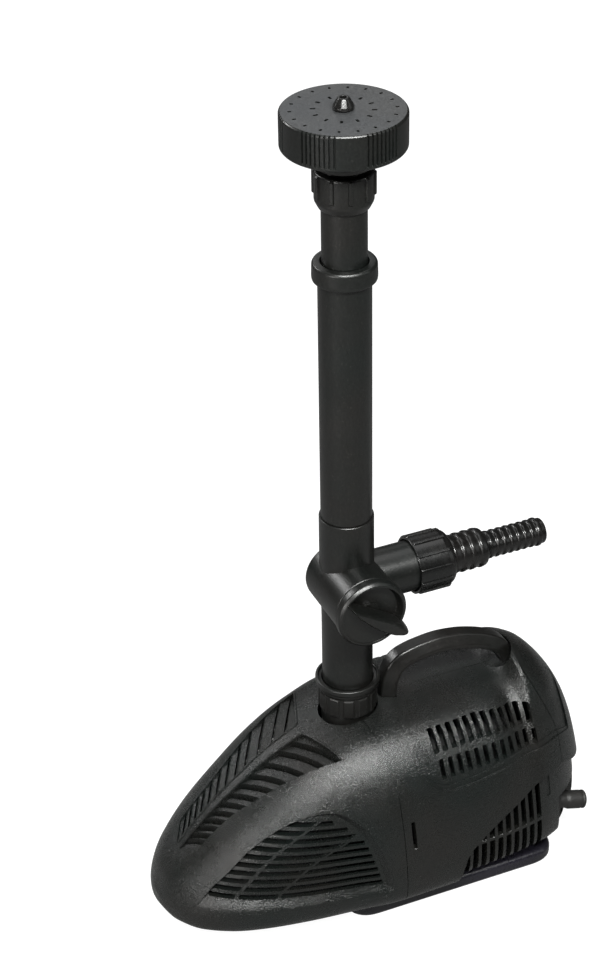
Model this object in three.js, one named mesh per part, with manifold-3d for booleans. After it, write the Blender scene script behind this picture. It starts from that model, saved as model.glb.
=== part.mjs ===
// Fountain pump: a submersible pump in a louvred strainer housing, with a telescopic riser, a diverter
// valve with a hose branch, and a tilting spray head. Millimetres, +Z up, -X towards the nose.
// Origin: the riser's axis at the level that the foot stands on.
import * as THREE from 'three';
import { mergeVertices } from 'three/addons/utils/BufferGeometryUtils.js';
import Module from 'manifold-3d';

const wasm = await Module();
wasm.setup();

// ---- driving dimensions ----
const fit = 0.3;                    // clearance between neighbouring pieces
const noseLength = 106.5;           // riser axis to the nose tip
const tailLength = 123.5;           // riser axis to the rear face
const bodyHalfWidth = 60;           // widest half width of the housing
const deckHeight = 98;              // top of the housing under the handle
const shellWall = 2.4;
const seamX = 5;                    // front strainer joint on the flanks
const seamBow = 4.6;                // how far that joint bows forward on the centre line
const panelDepth = 1.2;             // recess of the side vent panel
const coverStep = 2.6;              // lower cover lies this far inside the upper shell

const footThickness = 8;
const footHalfWidth = 50;
const footFront = -20;
const footRear = 95;

const shaftHeight = 46;             // axis of the motor and impeller
const motorRadius = 31;
const motorRear = 78;
const canWall = 2.4;
const rotorRadius = 10.5;
const shaftRadius = 1.6;
const impellerRadius = 22;
const chamberRadius = 33;
const chamberFront = -14;
const chamberWall = 2.5;

const turnFit = 0.4;                // clearance of a piece that turns on another
const legRadius = 12.4;
const waterBore = 9.6;              // way through the valve and its leg
const collarWall = 1.8;
const collarHeight = 17.2;          // deck to the collar's top
const valveRise = 72;               // deck to the branch axis
const socketRise = 39.3;            // branch axis to the riser tube
const socketRadius = 13.1;
const riserLength = 128.3;
const riserRadius = 12.25;
const lockRingRise = 5.6;           // riser tube's top to the lock ring's top
const lockRingRadius = 14.9;
const extension = 35.4;             // inner riser above the outer one, as shown
const innerRadius = 10.33;
const innerWall = 1.73;
const slideFit = 0.47;              // clearance of the inner riser in the outer one
const drumRadius = 16.8;
const drumFront = -24;
const drumBack = 12;
const plugRadius = 12.3;
const knobRadius = 17.6;
const knobAngle = -35;
const branchRadius = 12.4;
const nutWall = 2.3;
const nutStart = 33;
const nutEnd = 53;
const largeBarb = 9.9;
const smallBarb = 6.6;
const barbDepth = 0.7;
const barbStep = 74;
const hoseTip = 105.5;
const hoseBore = 4.6;

const ballRise = 8;                 // inner riser's top to the ball's centre
const headRise = 17.2;              // ball's centre to the head's lower edge
const headDepth = 16.7;
const headRadius = 27.95;
const jetRise = 5.6;

// ---- places and sizes that follow from them ----
const collarRadius = legRadius + turnFit + collarWall;
const collarTop = deckHeight + collarHeight;
const outletRadius = legRadius - 0.4;
const outletTop = deckHeight + 3;
const motorFront = outletRadius + fit;
const valveHeight = deckHeight + valveRise;
const socketTop = valveHeight + socketRise;
const riserBore = innerRadius + slideFit;
const riserTop = socketTop + riserLength;
const lockRingBottom = riserTop - 3.1;
const lockRingTop = riserTop + lockRingRise;
const innerBottom = socketTop + 30.7;
const innerTop = riserTop + extension;
const nutRadius = branchRadius + fit + nutWall;
const ballRadius = innerRadius - fit;
const ballHeight = innerTop + ballRise;
const ballNutRadius = ballRadius + 4.2;
const ballNutBottom = ballHeight - 11;
const ballNutTop = ballHeight + 6.5;
const headBottom = ballHeight + headRise;
const headTop = headBottom + headDepth;
const jetTop = headTop + jetRise;

// ---- facets around round pieces ----
const facets = 22;
const innerFacets = 24;             // bores that cross another bore
const smallFacets = 20;
const screwFacets = 8;
const holeFacets = 6;

// ---- materials ----
const plastic = (color, roughness) => new THREE.MeshStandardMaterial({ color, roughness, metalness: 0 });
const blackPlastic = plastic(0x1c1d1c, 0.5);
const glossPlastic = plastic(0x161616, 0.3);
const rubber = plastic(0x101010, 0.85);
const ceramic = plastic(0xe9e6df, 0.3);
const resin = plastic(0x2a2a30, 0.6);
const ferrite = plastic(0x3a3836, 0.55);
const steel = new THREE.MeshStandardMaterial({ color: 0xb5b7ba, roughness: 0.35, metalness: 1 });
const copper = new THREE.MeshStandardMaterial({ color: 0xb56a3a, roughness: 0.4, metalness: 1 });

// ---- solids ----
function solid(geometry) {
  const bare = geometry.clone();
  bare.deleteAttribute('normal');
  bare.deleteAttribute('uv');
  const merged = mergeVertices(bare, 1e-4);
  const vertProperties = Float32Array.from(merged.attributes.position.array);
  const corners = Array.from(merged.index.array);
  const kept = [];
  for (let i = 0; i < corners.length; i += 3) {
    const [a, b, c] = corners.slice(i, i + 3);
    if (a !== b && b !== c && c !== a) kept.push(a, b, c);
  }
  const build = (list) => new wasm.Manifold(new wasm.Mesh({
    numProp: 3, vertProperties, triVerts: Uint32Array.from(list),
  }));
  const first = build(kept);
  if (first.volume() > 0) return first;
  const turned = [];
  for (let i = 0; i < kept.length; i += 3) turned.push(kept[i], kept[i + 2], kept[i + 1]);
  return build(turned);
}

function geometryOf(manifold) {
  const mesh = manifold.getMesh();
  const count = mesh.vertProperties.length / mesh.numProp;
  const position = new Float32Array(count * 3);
  for (let i = 0; i < count; i++) {
    for (let k = 0; k < 3; k++) position[3 * i + k] = mesh.vertProperties[mesh.numProp * i + k];
  }
  const geometry = new THREE.BufferGeometry();
  geometry.setAttribute('position', new THREE.BufferAttribute(position, 3));
  geometry.setIndex(new THREE.BufferAttribute(Uint32Array.from(mesh.triVerts), 1));
  geometry.computeVertexNormals();
  return geometry;
}

const join = (...solids) => solids.reduce((whole, next) => whole.add(next));
const cut = (whole, ...tools) => tools.reduce((left, tool) => left.subtract(tool), whole);

// A box given by its low and high corners.
function block(low, high) {
  const size = high.map((v, i) => v - low[i]);
  const middle = high.map((v, i) => (v + low[i]) / 2);
  return new THREE.BoxGeometry(...size).translate(...middle);
}

// A closed (radius, height) outline turned about Z.
function turned(outline, sides = facets) {
  const points = outline.map(([r, z]) => new THREE.Vector2(r, z));
  return new THREE.LatheGeometry([...points, points[0]], sides).rotateX(Math.PI / 2);
}

const ring = (inner, outer, low, high, sides) =>
  turned([[inner, low], [outer, low], [outer, high], [inner, high]], sides);

// A solid rod about Z between two heights.
const rod = (radius, low, high, sides = facets) =>
  new THREE.CylinderGeometry(radius, radius, high - low, sides)
    .rotateX(Math.PI / 2)
    .translate(0, 0, (low + high) / 2);

const alongX = (geometry, height = shaftHeight) => geometry.rotateY(Math.PI / 2).translate(0, 0, height);
const alongY = (geometry) => geometry.rotateX(-Math.PI / 2).translate(0, 0, valveHeight);

// A side-view outline of (x, z) points made into a slab between two y values.
function slab(outline, low, high) {
  const shape = new THREE.Shape(outline.map(([x, z]) => new THREE.Vector2(x, z)));
  return new THREE.ExtrudeGeometry(shape, { depth: high - low, bevelEnabled: false })
    .rotateX(Math.PI / 2)
    .translate(0, high, 0);
}

// A plan outline of (x, y) points made into a prism between two heights.
function prism(outline, low, high) {
  const shape = new THREE.Shape(outline.map(([x, y]) => new THREE.Vector2(x, y)));
  return new THREE.ExtrudeGeometry(shape, { depth: high - low, bevelEnabled: false }).translate(0, 0, low);
}

// ---- housing surface ----
// A smooth curve through (x, value) points that never overshoots them.
function curveThrough(points) {
  const slope = points.slice(1).map(([x, v], i) => (v - points[i][1]) / (x - points[i][0]));
  const tangent = points.map((p, i) => {
    if (i === 0) return slope[0];
    if (i === slope.length) return slope[i - 1];
    const product = slope[i - 1] * slope[i];
    return product > 0 ? 2 * product / (slope[i - 1] + slope[i]) : 0;
  });
  return (x) => {
    let i = points.findIndex(([end], k) => k > 0 && x <= end) - 1;
    if (i < 0) i = x < points[0][0] ? 0 : points.length - 2;
    const [x0, v0] = points[i];
    const [x1, v1] = points[i + 1];
    const h = x1 - x0;
    const t = THREE.MathUtils.clamp((x - x0) / h, 0, 1);
    return v0 * (1 + 2 * t) * (1 - t) ** 2 + h * tangent[i] * t * (1 - t) ** 2
      + v1 * t * t * (3 - 2 * t) - h * tangent[i + 1] * t * t * (1 - t);
  };
}

// Stations are given as shares of the nose length (negative) or of the tail length (positive).
const station = (share) => share * (share < 0 ? noseLength : tailLength);
const spread = (points, scale) => points.map(([share, v]) => [station(share), v * scale]);

const widthSquared = curveThrough(spread([
  [-1, 0], [-0.95, 0.095], [-0.864, 0.25], [-0.685, 0.49], [-0.44, 0.694], [-0.19, 0.84],
  [0.04, 0.983], [0.24, 1], [0.49, 0.967], [0.69, 0.856], [0.81, 0.681], [0.89, 0.49],
  [0.955, 0.25], [0.988, 0.071], [1, 0],
], bodyHalfWidth ** 2));
const topHeight = curveThrough(spread([
  [-1, 0.143], [-0.95, 0.276], [-0.84, 0.423], [-0.695, 0.582], [-0.55, 0.709], [-0.407, 0.82],
  [-0.264, 0.901], [-0.164, 0.939], [0, 0.985], [0.162, 1], [0.6, 1], [0.648, 1.031],
  [0.696, 1.112], [0.777, 1.071], [0.85, 0.98], [0.923, 0.827], [0.964, 0.663], [0.988, 0.459],
  [1, 0.255],
], deckHeight));
const middleHeight = curveThrough(spread([
  [-1, 12], [-0.75, 16], [-0.38, 22], [0, 25], [0.49, 27], [1, 24],
], 1));
const bottomHeight = curveThrough(spread([
  [-1, 9], [-0.95, 4], [-0.85, 2], [-0.38, 2.5], [0.08, 5], [0.49, 7], [0.81, 8], [0.91, 9],
  [0.97, 12], [1, 20],
], 1));
const crown = curveThrough(spread([
  [-1, 2.7], [-0.75, 2.7], [-0.09, 3.8], [0.49, 3.8], [0.72, 2.3], [1, 2.3],
], 1));
const shoulder = 1.4;
const keel = 4;

// One closed section of the housing, drawn inset from its outer surface.
function housingSection(x, outerX, inset) {
  const width = Math.max(Math.sqrt(widthSquared(outerX)) - inset, 1);
  const middle = middleHeight(outerX);
  const rise = Math.max(topHeight(outerX) - middle - inset, 1);
  const drop = Math.max(middle - bottomHeight(outerX) - inset, 1);
  const upper = 6;
  const lower = 4;
  const quarter = [];
  for (let i = 0; i <= upper; i++) {
    const angle = (i / upper) * Math.PI / 2;
    const across = Math.sin(angle) ** (2 / crown(outerX));
    quarter.push([width * across, middle + rise * Math.max(Math.cos(angle), 0) ** (2 / shoulder)]);
  }
  for (let i = 1; i <= lower; i++) {
    const angle = (i / lower) * Math.PI / 2;
    const across = Math.max(Math.cos(angle), 0) ** (2 / keel);
    quarter.push([width * across, middle - drop * Math.sin(angle) ** (2 / keel)]);
  }
  const far = quarter.slice(1, -1).reverse().map(([y, z]) => [-y, z]);
  return [...quarter, ...far].map(([y, z]) => new THREE.Vector3(x, y, z));
}

// Sections joined one to the next, with flat ends.
function loft(sections) {
  const around = sections[0].length;
  const points = sections.flat();
  const faces = [];
  for (let s = 0; s + 1 < sections.length; s++) {
    for (let i = 0; i < around; i++) {
      const a = s * around + i;
      const b = s * around + (i + 1) % around;
      faces.push(a, b, a + around, b, b + around, a + around);
    }
  }
  for (const [s, flip] of [[0, false], [sections.length - 1, true]]) {
    const centre = points.length;
    const sum = sections[s].reduce((total, p) => total.add(p), new THREE.Vector3());
    points.push(sum.divideScalar(around));
    for (let i = 0; i < around; i++) {
      const a = s * around + i;
      const b = s * around + (i + 1) % around;
      faces.push(...(flip ? [centre, a, b] : [centre, b, a]));
    }
  }
  const geometry = new THREE.BufferGeometry().setFromPoints(points);
  geometry.setIndex(faces);
  return geometry;
}

function housing(inset) {
  const steps = 16;
  const low = -noseLength;
  const high = tailLength;
  const sections = [];
  for (let i = 0; i <= steps; i++) {
    const along = 0.5 - 0.5 * Math.cos(Math.PI * (0.02 + 0.96 * i / steps));
    const outerX = low + (high - low) * along;
    const x = low + inset + (high - low - 2 * inset) * along;
    sections.push(housingSection(x, outerX, inset));
  }
  return solid(loft(sections));
}

// ---- seams of the housing ----
const far = 200;
function frontRegion(gap) {
  const edge = [];
  const steps = 8;
  for (let i = 0; i <= steps; i++) {
    const y = -40 + 80 * i / steps;
    edge.push([seamX - seamBow * (1 - (y / 40) ** 2) + gap, y]);
  }
  const line = seamX + gap;
  return solid(prism([[-far, -far], [line, -far], ...edge, [line, far], [-far, far]], -far, far));
}

const capSeam = [[0.62, 1.43], [0.685, 1.112], [0.80, 0.765], [0.80, 0.4]];
function rearRegion(gap) {
  const edge = capSeam.map(([share, rise]) => [station(share) + gap, rise * deckHeight]);
  return solid(slab([...edge, [far, 0.4 * deckHeight], [far, 1.43 * deckHeight]], -far, far));
}

const coverSeam = [
  [0.235, -0.1], [0.27, 0.1], [0.315, 0.305], [0.372, 0.37], [0.46, 0.445], [0.56, 0.51], [0.665, 0.56],
  [0.78, 0.583], [0.9, 0.52], [1.1, 0.4],
];
function coverRegion(gap) {
  const edge = coverSeam.map(([share, rise]) => [station(share) + gap, rise * deckHeight - gap]);
  return solid(slab([...edge, [far, 0.4 * deckHeight - gap], [far, -0.1 * deckHeight]], -far, far));
}

// ---- handle ----
const handlePath = [
  [0.166, -4], [0.172, 6], [0.194, 14], [0.235, 18.6], [0.31, 20.9], [0.39, 21.8], [0.47, 20.8],
  [0.55, 18.2], [0.62, 14.4], [0.675, 9], [0.705, 0],
].map(([share, rise]) => new THREE.Vector3(station(share), 0, deckHeight + rise));

function handle(grow) {
  const top = 3.6 + grow;
  const foot = 6.6 + grow;
  const low = -2.95 - grow;
  const high = 4.4 + grow;
  const rim = low + 2.2;
  const outline = [[-foot, low], [foot, low], [foot, rim], [top, high], [-top, high], [-foot, rim]];
  const shape = new THREE.Shape(outline.map(([y, z]) => new THREE.Vector2(y, z)));
  const path = new THREE.CatmullRomCurve3(handlePath);
  return solid(new THREE.ExtrudeGeometry(shape, { steps: 16, bevelEnabled: false, extrudePath: path }));
}

// ---- openings in the housing ----
const sideSlots = (list) => list.map(([x0, x1, z0, z1]) => solid(block([x0, -far, z0], [x1, far, z1])));

const grilleRows = 10;
const grilleLow = 28.2;
const grillePitch = 3.92;
const grilleSlot = 2.3;
const ribWidth = 1.9;
const grilleFront = curveThrough([[27, -88], [40, -77], [52, -62], [64, -44.5]]);
const grilleRear = curveThrough([[27, -5.7], [40, -9], [50, -12.6], [56, -18], [60, -22.5], [64, -32]]);
const ribOne = curveThrough([[27, -76.6], [46, -57.5], [64, -31.7]]);
const ribTwo = curveThrough([[27, -57.5], [43, -37.3], [52.5, -19.3], [64, -3]]);

function sideGrille() {
  const slots = [];
  for (let row = 0; row < grilleRows; row++) {
    const z = grilleLow + row * grillePitch;
    const rear = grilleRear(z) - 1;
    const rib = ribWidth / 2;
    const one = ribOne(z);
    const two = ribTwo(z);
    const stops = [[grilleFront(z), one - rib], [one + rib, two - rib], [two + rib, rear]];
    for (const [start, end] of stops) {
      const last = Math.min(end, rear);
      if (last - start > 4) slots.push([start, last, z - grilleSlot / 2, z + grilleSlot / 2]);
    }
  }
  return sideSlots(slots);
}

const louvreStarts = [-33, -40, -48, -55, -60.5, -66, -71, -75.5, -79.5, -83, -86.5, -89.5];
const louvreSlant = 0.6;
const louvreSlot = 2;
function noseLouvres() {
  const slots = [];
  for (const x of louvreStarts) {
    const start = 4.2;
    const end = 28.5 * Math.max((x + 122) / 89, 0) ** 1.15;
    const length = Math.hypot(end - start, (end - start) * louvreSlant);
    for (const side of [-1, 1]) {
      const slot = block([-louvreSlot / 2, 0, 25], [louvreSlot / 2, length, 150]);
      slot.rotateZ(-Math.atan(louvreSlant));
      if (side < 0) slot.scale(1, -1, 1);
      slots.push(solid(slot.translate(x, side * start, 0)));
    }
  }
  return slots;
}

const panelPitch = 4.88;
const panelSlots = 12;
function ventPanel() {
  const slots = [];
  for (let i = 0; i < panelSlots; i++) {
    const x = 28 + i * panelPitch;
    slots.push([x - 1.4, x + 1.4, deckHeight - 12, deckHeight - 3.8]);
    slots.push([x - 0.2, x + 2.1, deckHeight - 23.4, deckHeight - 16.2]);
  }
  slots.push([9.2, 11.2, 43.6, 57.7]);
  return sideSlots(slots);
}

// Heights are measured from the deck.
const panelOutline = [
  [19.5, -12], [17.6, -15], [18.1, -20], [21, -25], [26.5, -29], [33, -30], [60, -28], [97, -26.6],
  [108, -30.5], [112, -26], [101, -14], [60, -12],
].map(([x, rise]) => [x, deckHeight + rise]);

const coverSlots = 11;
const coverPitch = 4.75;
const coverTop = curveThrough([[29, 12], [39, 30], [46, 36.2], [57, 43.7], [69, 50], [82, 55], [97, 57]]);
function coverVents() {
  const slots = [];
  for (let i = 0; i < coverSlots; i++) {
    const x = 83 - i * coverPitch;
    slots.push([x - 2.2, x, 10.5, 31.5]);
    const top = coverTop(x - 2.2) - 3;
    if (top > 39) slots.push([x - 2.2, x, 35, top]);
  }
  return sideSlots(slots);
}

// ---- housing pieces ----
const outer = housing(0);
const shell = cut(outer, housing(shellWall));
const outletHole = solid(rod(collarRadius + turnFit, deckHeight - 28, far));
const handleRoom = handle(0.35);
const panelRecess = outer.subtract(housing(panelDepth)).intersect(solid(slab(panelOutline, -far, far)));

const screwSpots = [[40, -16], [40, 16], [72, -16], [72, 16]];
const screwHole = (radius, low, high) =>
  screwSpots.map(([x, y]) => solid(rod(radius, low, high, screwFacets).translate(x, y, 0)));

function frontStrainer() {
  return cut(shell.intersect(frontRegion(-fit / 2)), outletHole, ...sideGrille(), ...noseLouvres());
}

function rearShell() {
  const region = cut(shell, frontRegion(fit / 2), rearRegion(-fit / 2), coverRegion(-fit / 2));
  return cut(region, panelRecess, outletHole, handleRoom, ...ventPanel());
}

function rearCap() {
  return cut(shell.intersect(rearRegion(fit / 2)), coverRegion(-fit / 2), panelRecess, handleRoom);
}

const notchLow = 13;
const notchHigh = 38;
const notchFront = 96;
const notchInner = -24;
function lowerCover() {
  const inner = housing(coverStep).subtract(housing(coverStep + shellWall));
  const notch = solid(block([notchFront, -far, notchLow], [far, notchInner, notchHigh]));
  return cut(inner.intersect(coverRegion(fit / 2)), notch, ...coverVents(), ...screwHole(2.1, -5, 20));
}

function foot() {
  const radius = 14;
  const shape = new THREE.Shape();
  const edge = 1.6;
  const low = [footFront + edge, -footHalfWidth + edge];
  const high = [footRear - edge, footHalfWidth - edge];
  shape.moveTo(low[0] + radius, low[1]);
  shape.lineTo(high[0] - radius, low[1]);
  shape.absarc(high[0] - radius, low[1] + radius, radius, -Math.PI / 2, 0);
  shape.lineTo(high[0], high[1] - radius);
  shape.absarc(high[0] - radius, high[1] - radius, radius, 0, Math.PI / 2);
  shape.lineTo(low[0] + radius, high[1]);
  shape.absarc(low[0] + radius, high[1] - radius, radius, Math.PI / 2, Math.PI);
  shape.lineTo(low[0], low[1] + radius);
  shape.absarc(low[0] + radius, low[1] + radius, radius, Math.PI, 1.5 * Math.PI);
  const plate = solid(new THREE.ExtrudeGeometry(shape, {
    depth: footThickness - 2 * edge,
    bevelSize: edge,
    bevelThickness: edge,
    bevelSegments: 1,
    curveSegments: 4,
  }).translate(0, 0, edge));
  return cut(plate, housing(-fit), ...screwHole(2.1, -5, 20), ...screwHole(3.9, -5, 3.6));
}

// ---- cable entry ----
const cablePlace = [98, -33, 24.5];
const glandRadius = 4.2;
const alongCable = (geometry) => geometry.rotateY(Math.PI / 2 + 0.2).rotateZ(-0.12).translate(...cablePlace);

function cableGland() {
  const tail = turned([
    [0, 0], [glandRadius, 0], [glandRadius, 9], [4.8, 10.5], [4.8, 19], [3.9, 20], [0, 20],
  ], smallFacets);
  return solid(alongCable(tail));
}

function cableGrommet() {
  const body = block([97, -39, notchLow + 4], [102, notchInner - 1, notchHigh - 4]);
  const passage = rod(glandRadius + fit, -20, 30, smallFacets);
  return cut(solid(body), solid(alongCable(passage)));
}

// ---- pump and motor, on the shaft axis ----
function pumpHousing() {
  const rear = motorFront - 0.5;
  const chamber = turned([
    [0, chamberFront - 7], [12, chamberFront - 7], [12, chamberFront - 0.1], [chamberRadius, chamberFront],
    [chamberRadius, rear], [0, rear],
  ], innerFacets);
  const inside = turned([
    [0, chamberFront - 8], [9, chamberFront - 8], [9, chamberFront + chamberWall - 0.1],
    [chamberRadius - chamberWall, chamberFront + chamberWall], [chamberRadius - chamberWall, rear + 1],
    [0, rear + 1],
  ], innerFacets);
  const outlet = rod(outletRadius, shaftHeight + chamberRadius - 8, outletTop);
  const passage = rod(waterBore - fit, shaftHeight + 12, outletTop + 1, innerFacets);
  const hub = ring(4.8, 6.4, -4, 2, 16).translate(0, 0, chamberFront);
  const spokes = [0, 1, 2].map((i) => solid(alongX(
    block([-1, 5.6, 0], [1, 10, 2]).rotateZ(i * 2 * Math.PI / 3).translate(0, 0, chamberFront - 2))));
  const body = cut(join(solid(alongX(chamber)), solid(outlet)), solid(alongX(inside)), solid(passage));
  return join(body, solid(alongX(hub)), ...spokes);
}

const rotorBore = shaftRadius + fit;
const impellerVanes = 6;
function impeller() {
  const disc = solid(alongX(turned([
    [rotorBore, -6], [5, -6], [5, 4], [impellerRadius, 4], [impellerRadius, 6.2], [5, 6.2], [5, 13.6],
    [rotorBore, 13.6],
  ])));
  const vanes = [];
  for (let i = 0; i < impellerVanes; i++) {
    const vane = block([-0.9, 4.4, -6], [0.9, impellerRadius - 0.6, 4.6]);
    vane.rotateZ(2 * Math.PI * i / impellerVanes);
    vanes.push(solid(alongX(vane)));
  }
  return join(disc, ...vanes);
}

const rotor = () => solid(alongX(ring(rotorBore, rotorRadius, 13.9, 60)));
const shaft = () => solid(alongX(rod(shaftRadius, chamberFront - 3, 66, 16)));
const frontBearing = () => solid(alongX(ring(
  rotorBore, 4.5, chamberFront - 3.6, chamberFront + 1.8, smallFacets)));
const rearBearing = () => solid(alongX(ring(rotorBore, 6, 60.8, 66.2, smallFacets)));
const housingSeal = () => solid(alongX(ring(
  chamberRadius - 5.6, chamberRadius - chamberWall - fit, motorFront - 2.7, motorFront - 0.4)));

// The rotor's well is closed at the rear, where the bearing sits.
const wellBore = rotorRadius + 1;
const wellRadius = wellBore + 1.5;
function motorCan() {
  const bore = motorRadius - canWall;
  const can = turned([
    [wellBore, motorFront], [chamberRadius, motorFront], [chamberRadius, motorFront + 3.5],
    [motorRadius, motorFront + 3.6], [motorRadius, motorRear], [bore, motorRear],
    [bore, motorFront + 3.4], [wellRadius, motorFront + 3.3], [wellRadius, 68.5], [0, 68.5], [0, 66.7],
    [6.3, 66.7], [6.3, 60.4], [wellBore, 60.4],
  ]);
  return solid(alongX(can));
}

// A square core whose corners clear the can.
function statorCore() {
  const half = (motorRadius - canWall) / Math.SQRT2 - 2 * fit;
  const core = solid(block([28, -half, shaftHeight - half], [58, half, shaftHeight + half]));
  return cut(core, solid(alongX(rod(wellRadius + fit, 20, 66))));
}

const statorCoil = () => solid(alongX(ring(wellRadius + turnFit, motorRadius - 5, 58.5, 68)));
const motorResin = () => solid(alongX(rod(motorRadius - canWall - fit, 69, motorRear)));

function motorCradle() {
  const cradle = solid(block([28, -22, 13.2], [78, 22, 26]));
  const hollow = solid(alongX(rod(motorRadius + fit, 0, 90)));
  return cut(cradle, hollow, ...screwHole(1.7, 0, 19.5));
}

function footScrew([x, y]) {
  const screw = turned([
    [0, 0.9], [1.6, 0.9], [1.6, 0.3], [3.4, 0.3], [3.4, 3.2], [1.4, 3.3], [1.4, 15.5], [0, 15.5],
  ], screwFacets);
  return solid(screw.translate(x, y, 0));
}

// ---- outlet and diverter valve ----
function outletCollar() {
  const lowBore = outletRadius + fit;
  const bore = legRadius + turnFit;
  const flange = collarRadius + 1.3;
  const neck = outletTop - 3.4;
  return solid(turned([
    [lowBore, outletTop - 11], [collarRadius - 1.4, outletTop - 11],
    [collarRadius - 1.4, neck], [collarRadius, neck],
    [collarRadius, collarTop - 4.7], [flange, collarTop - 2.6], [flange, collarTop],
    [collarRadius - 0.2, collarTop], [collarRadius - 0.2, collarTop - 0.9], [bore, collarTop - 0.9],
    [bore, outletTop + 1.3], [lowBore, outletTop + 1.3],
  ]));
}
const outletSeal = () => solid(ring(waterBore + 0.2, outletRadius + 0.1, outletTop + fit, outletTop + 2));

function valveBody() {
  const leg = rod(legRadius, outletTop + 2.4, valveHeight);
  const drum = alongY(turned([
    [0, drumFront], [drumRadius, drumFront], [drumRadius, drumBack - 1], [drumRadius - 1, drumBack],
    [0, drumBack],
  ]));
  const socket = rod(socketRadius, valveHeight, socketTop);
  const branch = alongX(rod(branchRadius, 2, 39.5), valveHeight);
  const body = join(solid(leg), solid(drum), solid(socket), solid(branch));
  const ways = [
    rod(waterBore, outletTop, valveHeight), rod(waterBore, valveHeight, socketTop - 9),
    rod(sleeveRadius + fit, socketTop - 14.8, socketTop + 10),
  ];
  return cut(
    body, ...ways.map(solid), solid(alongX(rod(waterBore - 0.2, 0, 50), valveHeight)),
    solid(alongY(rod(plugRadius + fit, drumFront - 1, 8))),
  );
}

const stemRadius = 4.5;
function valvePlug() {
  const body = solid(alongY(turned([[0, -18.5], [plugRadius, -18.5], [plugRadius, 7.6], [0, 7.6]])));
  const stem = solid(alongY(rod(stemRadius, -26.6, -18, smallFacets)));
  const way = plugRadius - 3.7;
  const ways = [
    rod(way, valveHeight - 20, valveHeight + 20, innerFacets),
    alongX(rod(way, 0, 20, innerFacets), valveHeight),
  ];
  return cut(join(body, stem), ...ways.map(solid));
}

const stemSeal = () => solid(alongY(ring(stemRadius + turnFit, plugRadius - 0.1, -21.6, -18.9)));

function valveKnob() {
  const bore = stemRadius + turnFit;
  const dish = solid(alongY(turned([
    [bore, -24.4], [knobRadius - 0.8, -24.4], [knobRadius, -25.2], [knobRadius, -29.2],
    [knobRadius - 1.2, -30.4], [knobRadius - 3.4, -30.4], [knobRadius - 3.6, -28.2], [0, -28.2], [0, -27],
    [bore, -27],
  ])));
  const wing = [
    [-19.5, -1.6], [-17, -3.2], [0, -4.4], [19, -3], [21.6, 0], [19, 3], [0, 2.2], [-17, 1.4], [-19.5, 0.4],
  ];
  const blade = new THREE.ExtrudeGeometry(
    new THREE.Shape(wing.map(([x, z]) => new THREE.Vector2(x, z))),
    { depth: 8.6, bevelEnabled: false },
  ).rotateX(Math.PI / 2).translate(0, -27.6, 0);
  blade.rotateY(-THREE.MathUtils.degToRad(knobAngle)).translate(0, 0, valveHeight);
  return join(dish, solid(blade));
}

const tailStem = 9.2;
function branchNut() {
  const bore = branchRadius + 0.7;
  const lip = tailStem + 1.2;
  const nut = turned([
    [bore, nutStart], [nutRadius - 0.7, nutStart], [nutRadius, nutStart + 1], [nutRadius, nutEnd - 4],
    [nutRadius - 1.6, nutEnd], [lip, nutEnd], [lip, 44.4], [bore, 44.4],
  ]);
  return solid(alongX(nut, valveHeight));
}

const hoseWasher = () => solid(alongX(ring(waterBore, branchRadius - 0.1, 39.8, 41.3), valveHeight));

// Barbs rise towards the pump and step down sharply behind each crest.
function barbs(start, end, count, crest) {
  const pitch = (end - start) / count;
  const outline = [];
  for (let i = 0; i < count; i++) {
    const x = start + i * pitch;
    outline.push([crest, x + 0.2 * pitch], [crest - barbDepth, x + pitch]);
  }
  return outline;
}

const largeBarbs = 4;
const smallBarbs = 6;
function hoseTail() {
  const flange = branchRadius + 0.2;
  const outline = [
    [hoseBore, 41.6], [flange, 41.6], [flange, 44.1], [tailStem, 44.1], [tailStem, nutEnd],
    ...barbs(nutEnd, barbStep, largeBarbs, largeBarb), ...barbs(barbStep, hoseTip, smallBarbs, smallBarb),
    [hoseBore, hoseTip],
  ];
  return solid(alongX(turned(outline), valveHeight));
}

// ---- telescopic riser ----
const sleeveRadius = 11.4;          // riser's lower end, inside the valve's socket
const outerRiser = () => solid(turned([
  [9.5, socketTop - 14.3], [sleeveRadius, socketTop - 14.3], [sleeveRadius, socketTop + fit],
  [riserRadius, socketTop + fit], [riserRadius, riserTop], [riserBore, riserTop],
  [riserBore, socketTop + 4.7], [9.5, socketTop + 2.7],
]));
const lockRing = () => solid(turned([
  [riserRadius + fit, lockRingBottom], [lockRingRadius, lockRingBottom], [lockRingRadius, lockRingBottom + 1],
  [lockRingRadius - 0.3, lockRingTop - 0.8], [lockRingRadius - 0.9, lockRingTop],
  [riserBore + 0.1, lockRingTop], [riserBore + 0.1, riserTop + fit], [riserRadius + fit, riserTop + fit],
]));
const innerRiser = () => solid(ring(innerRadius - innerWall, innerRadius, innerBottom, innerTop));
const ballSeal = () => solid(ring(
  innerRadius - innerWall + 0.1, innerRadius + 0.6, innerTop + fit, innerTop + 2));

function ballNut() {
  const tubeBore = innerRadius + 0.35;
  const inside = ballRadius + 1.4;
  const opening = ballRadius - 0.7;
  return solid(turned([
    [tubeBore, ballNutBottom], [ballNutRadius - 2.6, ballNutBottom], [ballNutRadius - 0.9, ballNutBottom + 4],
    [ballNutRadius, ballNutBottom + 4.4], [ballNutRadius, ballNutTop - 1], [ballNutRadius - 0.8, ballNutTop],
    [opening, ballNutTop], [opening + 0.3, ballNutTop - 2.1], [inside, ballNutTop - 4],
    [inside, ballNutBottom + 3.5], [tubeBore, ballNutBottom + 2.6],
  ]));
}

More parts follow.
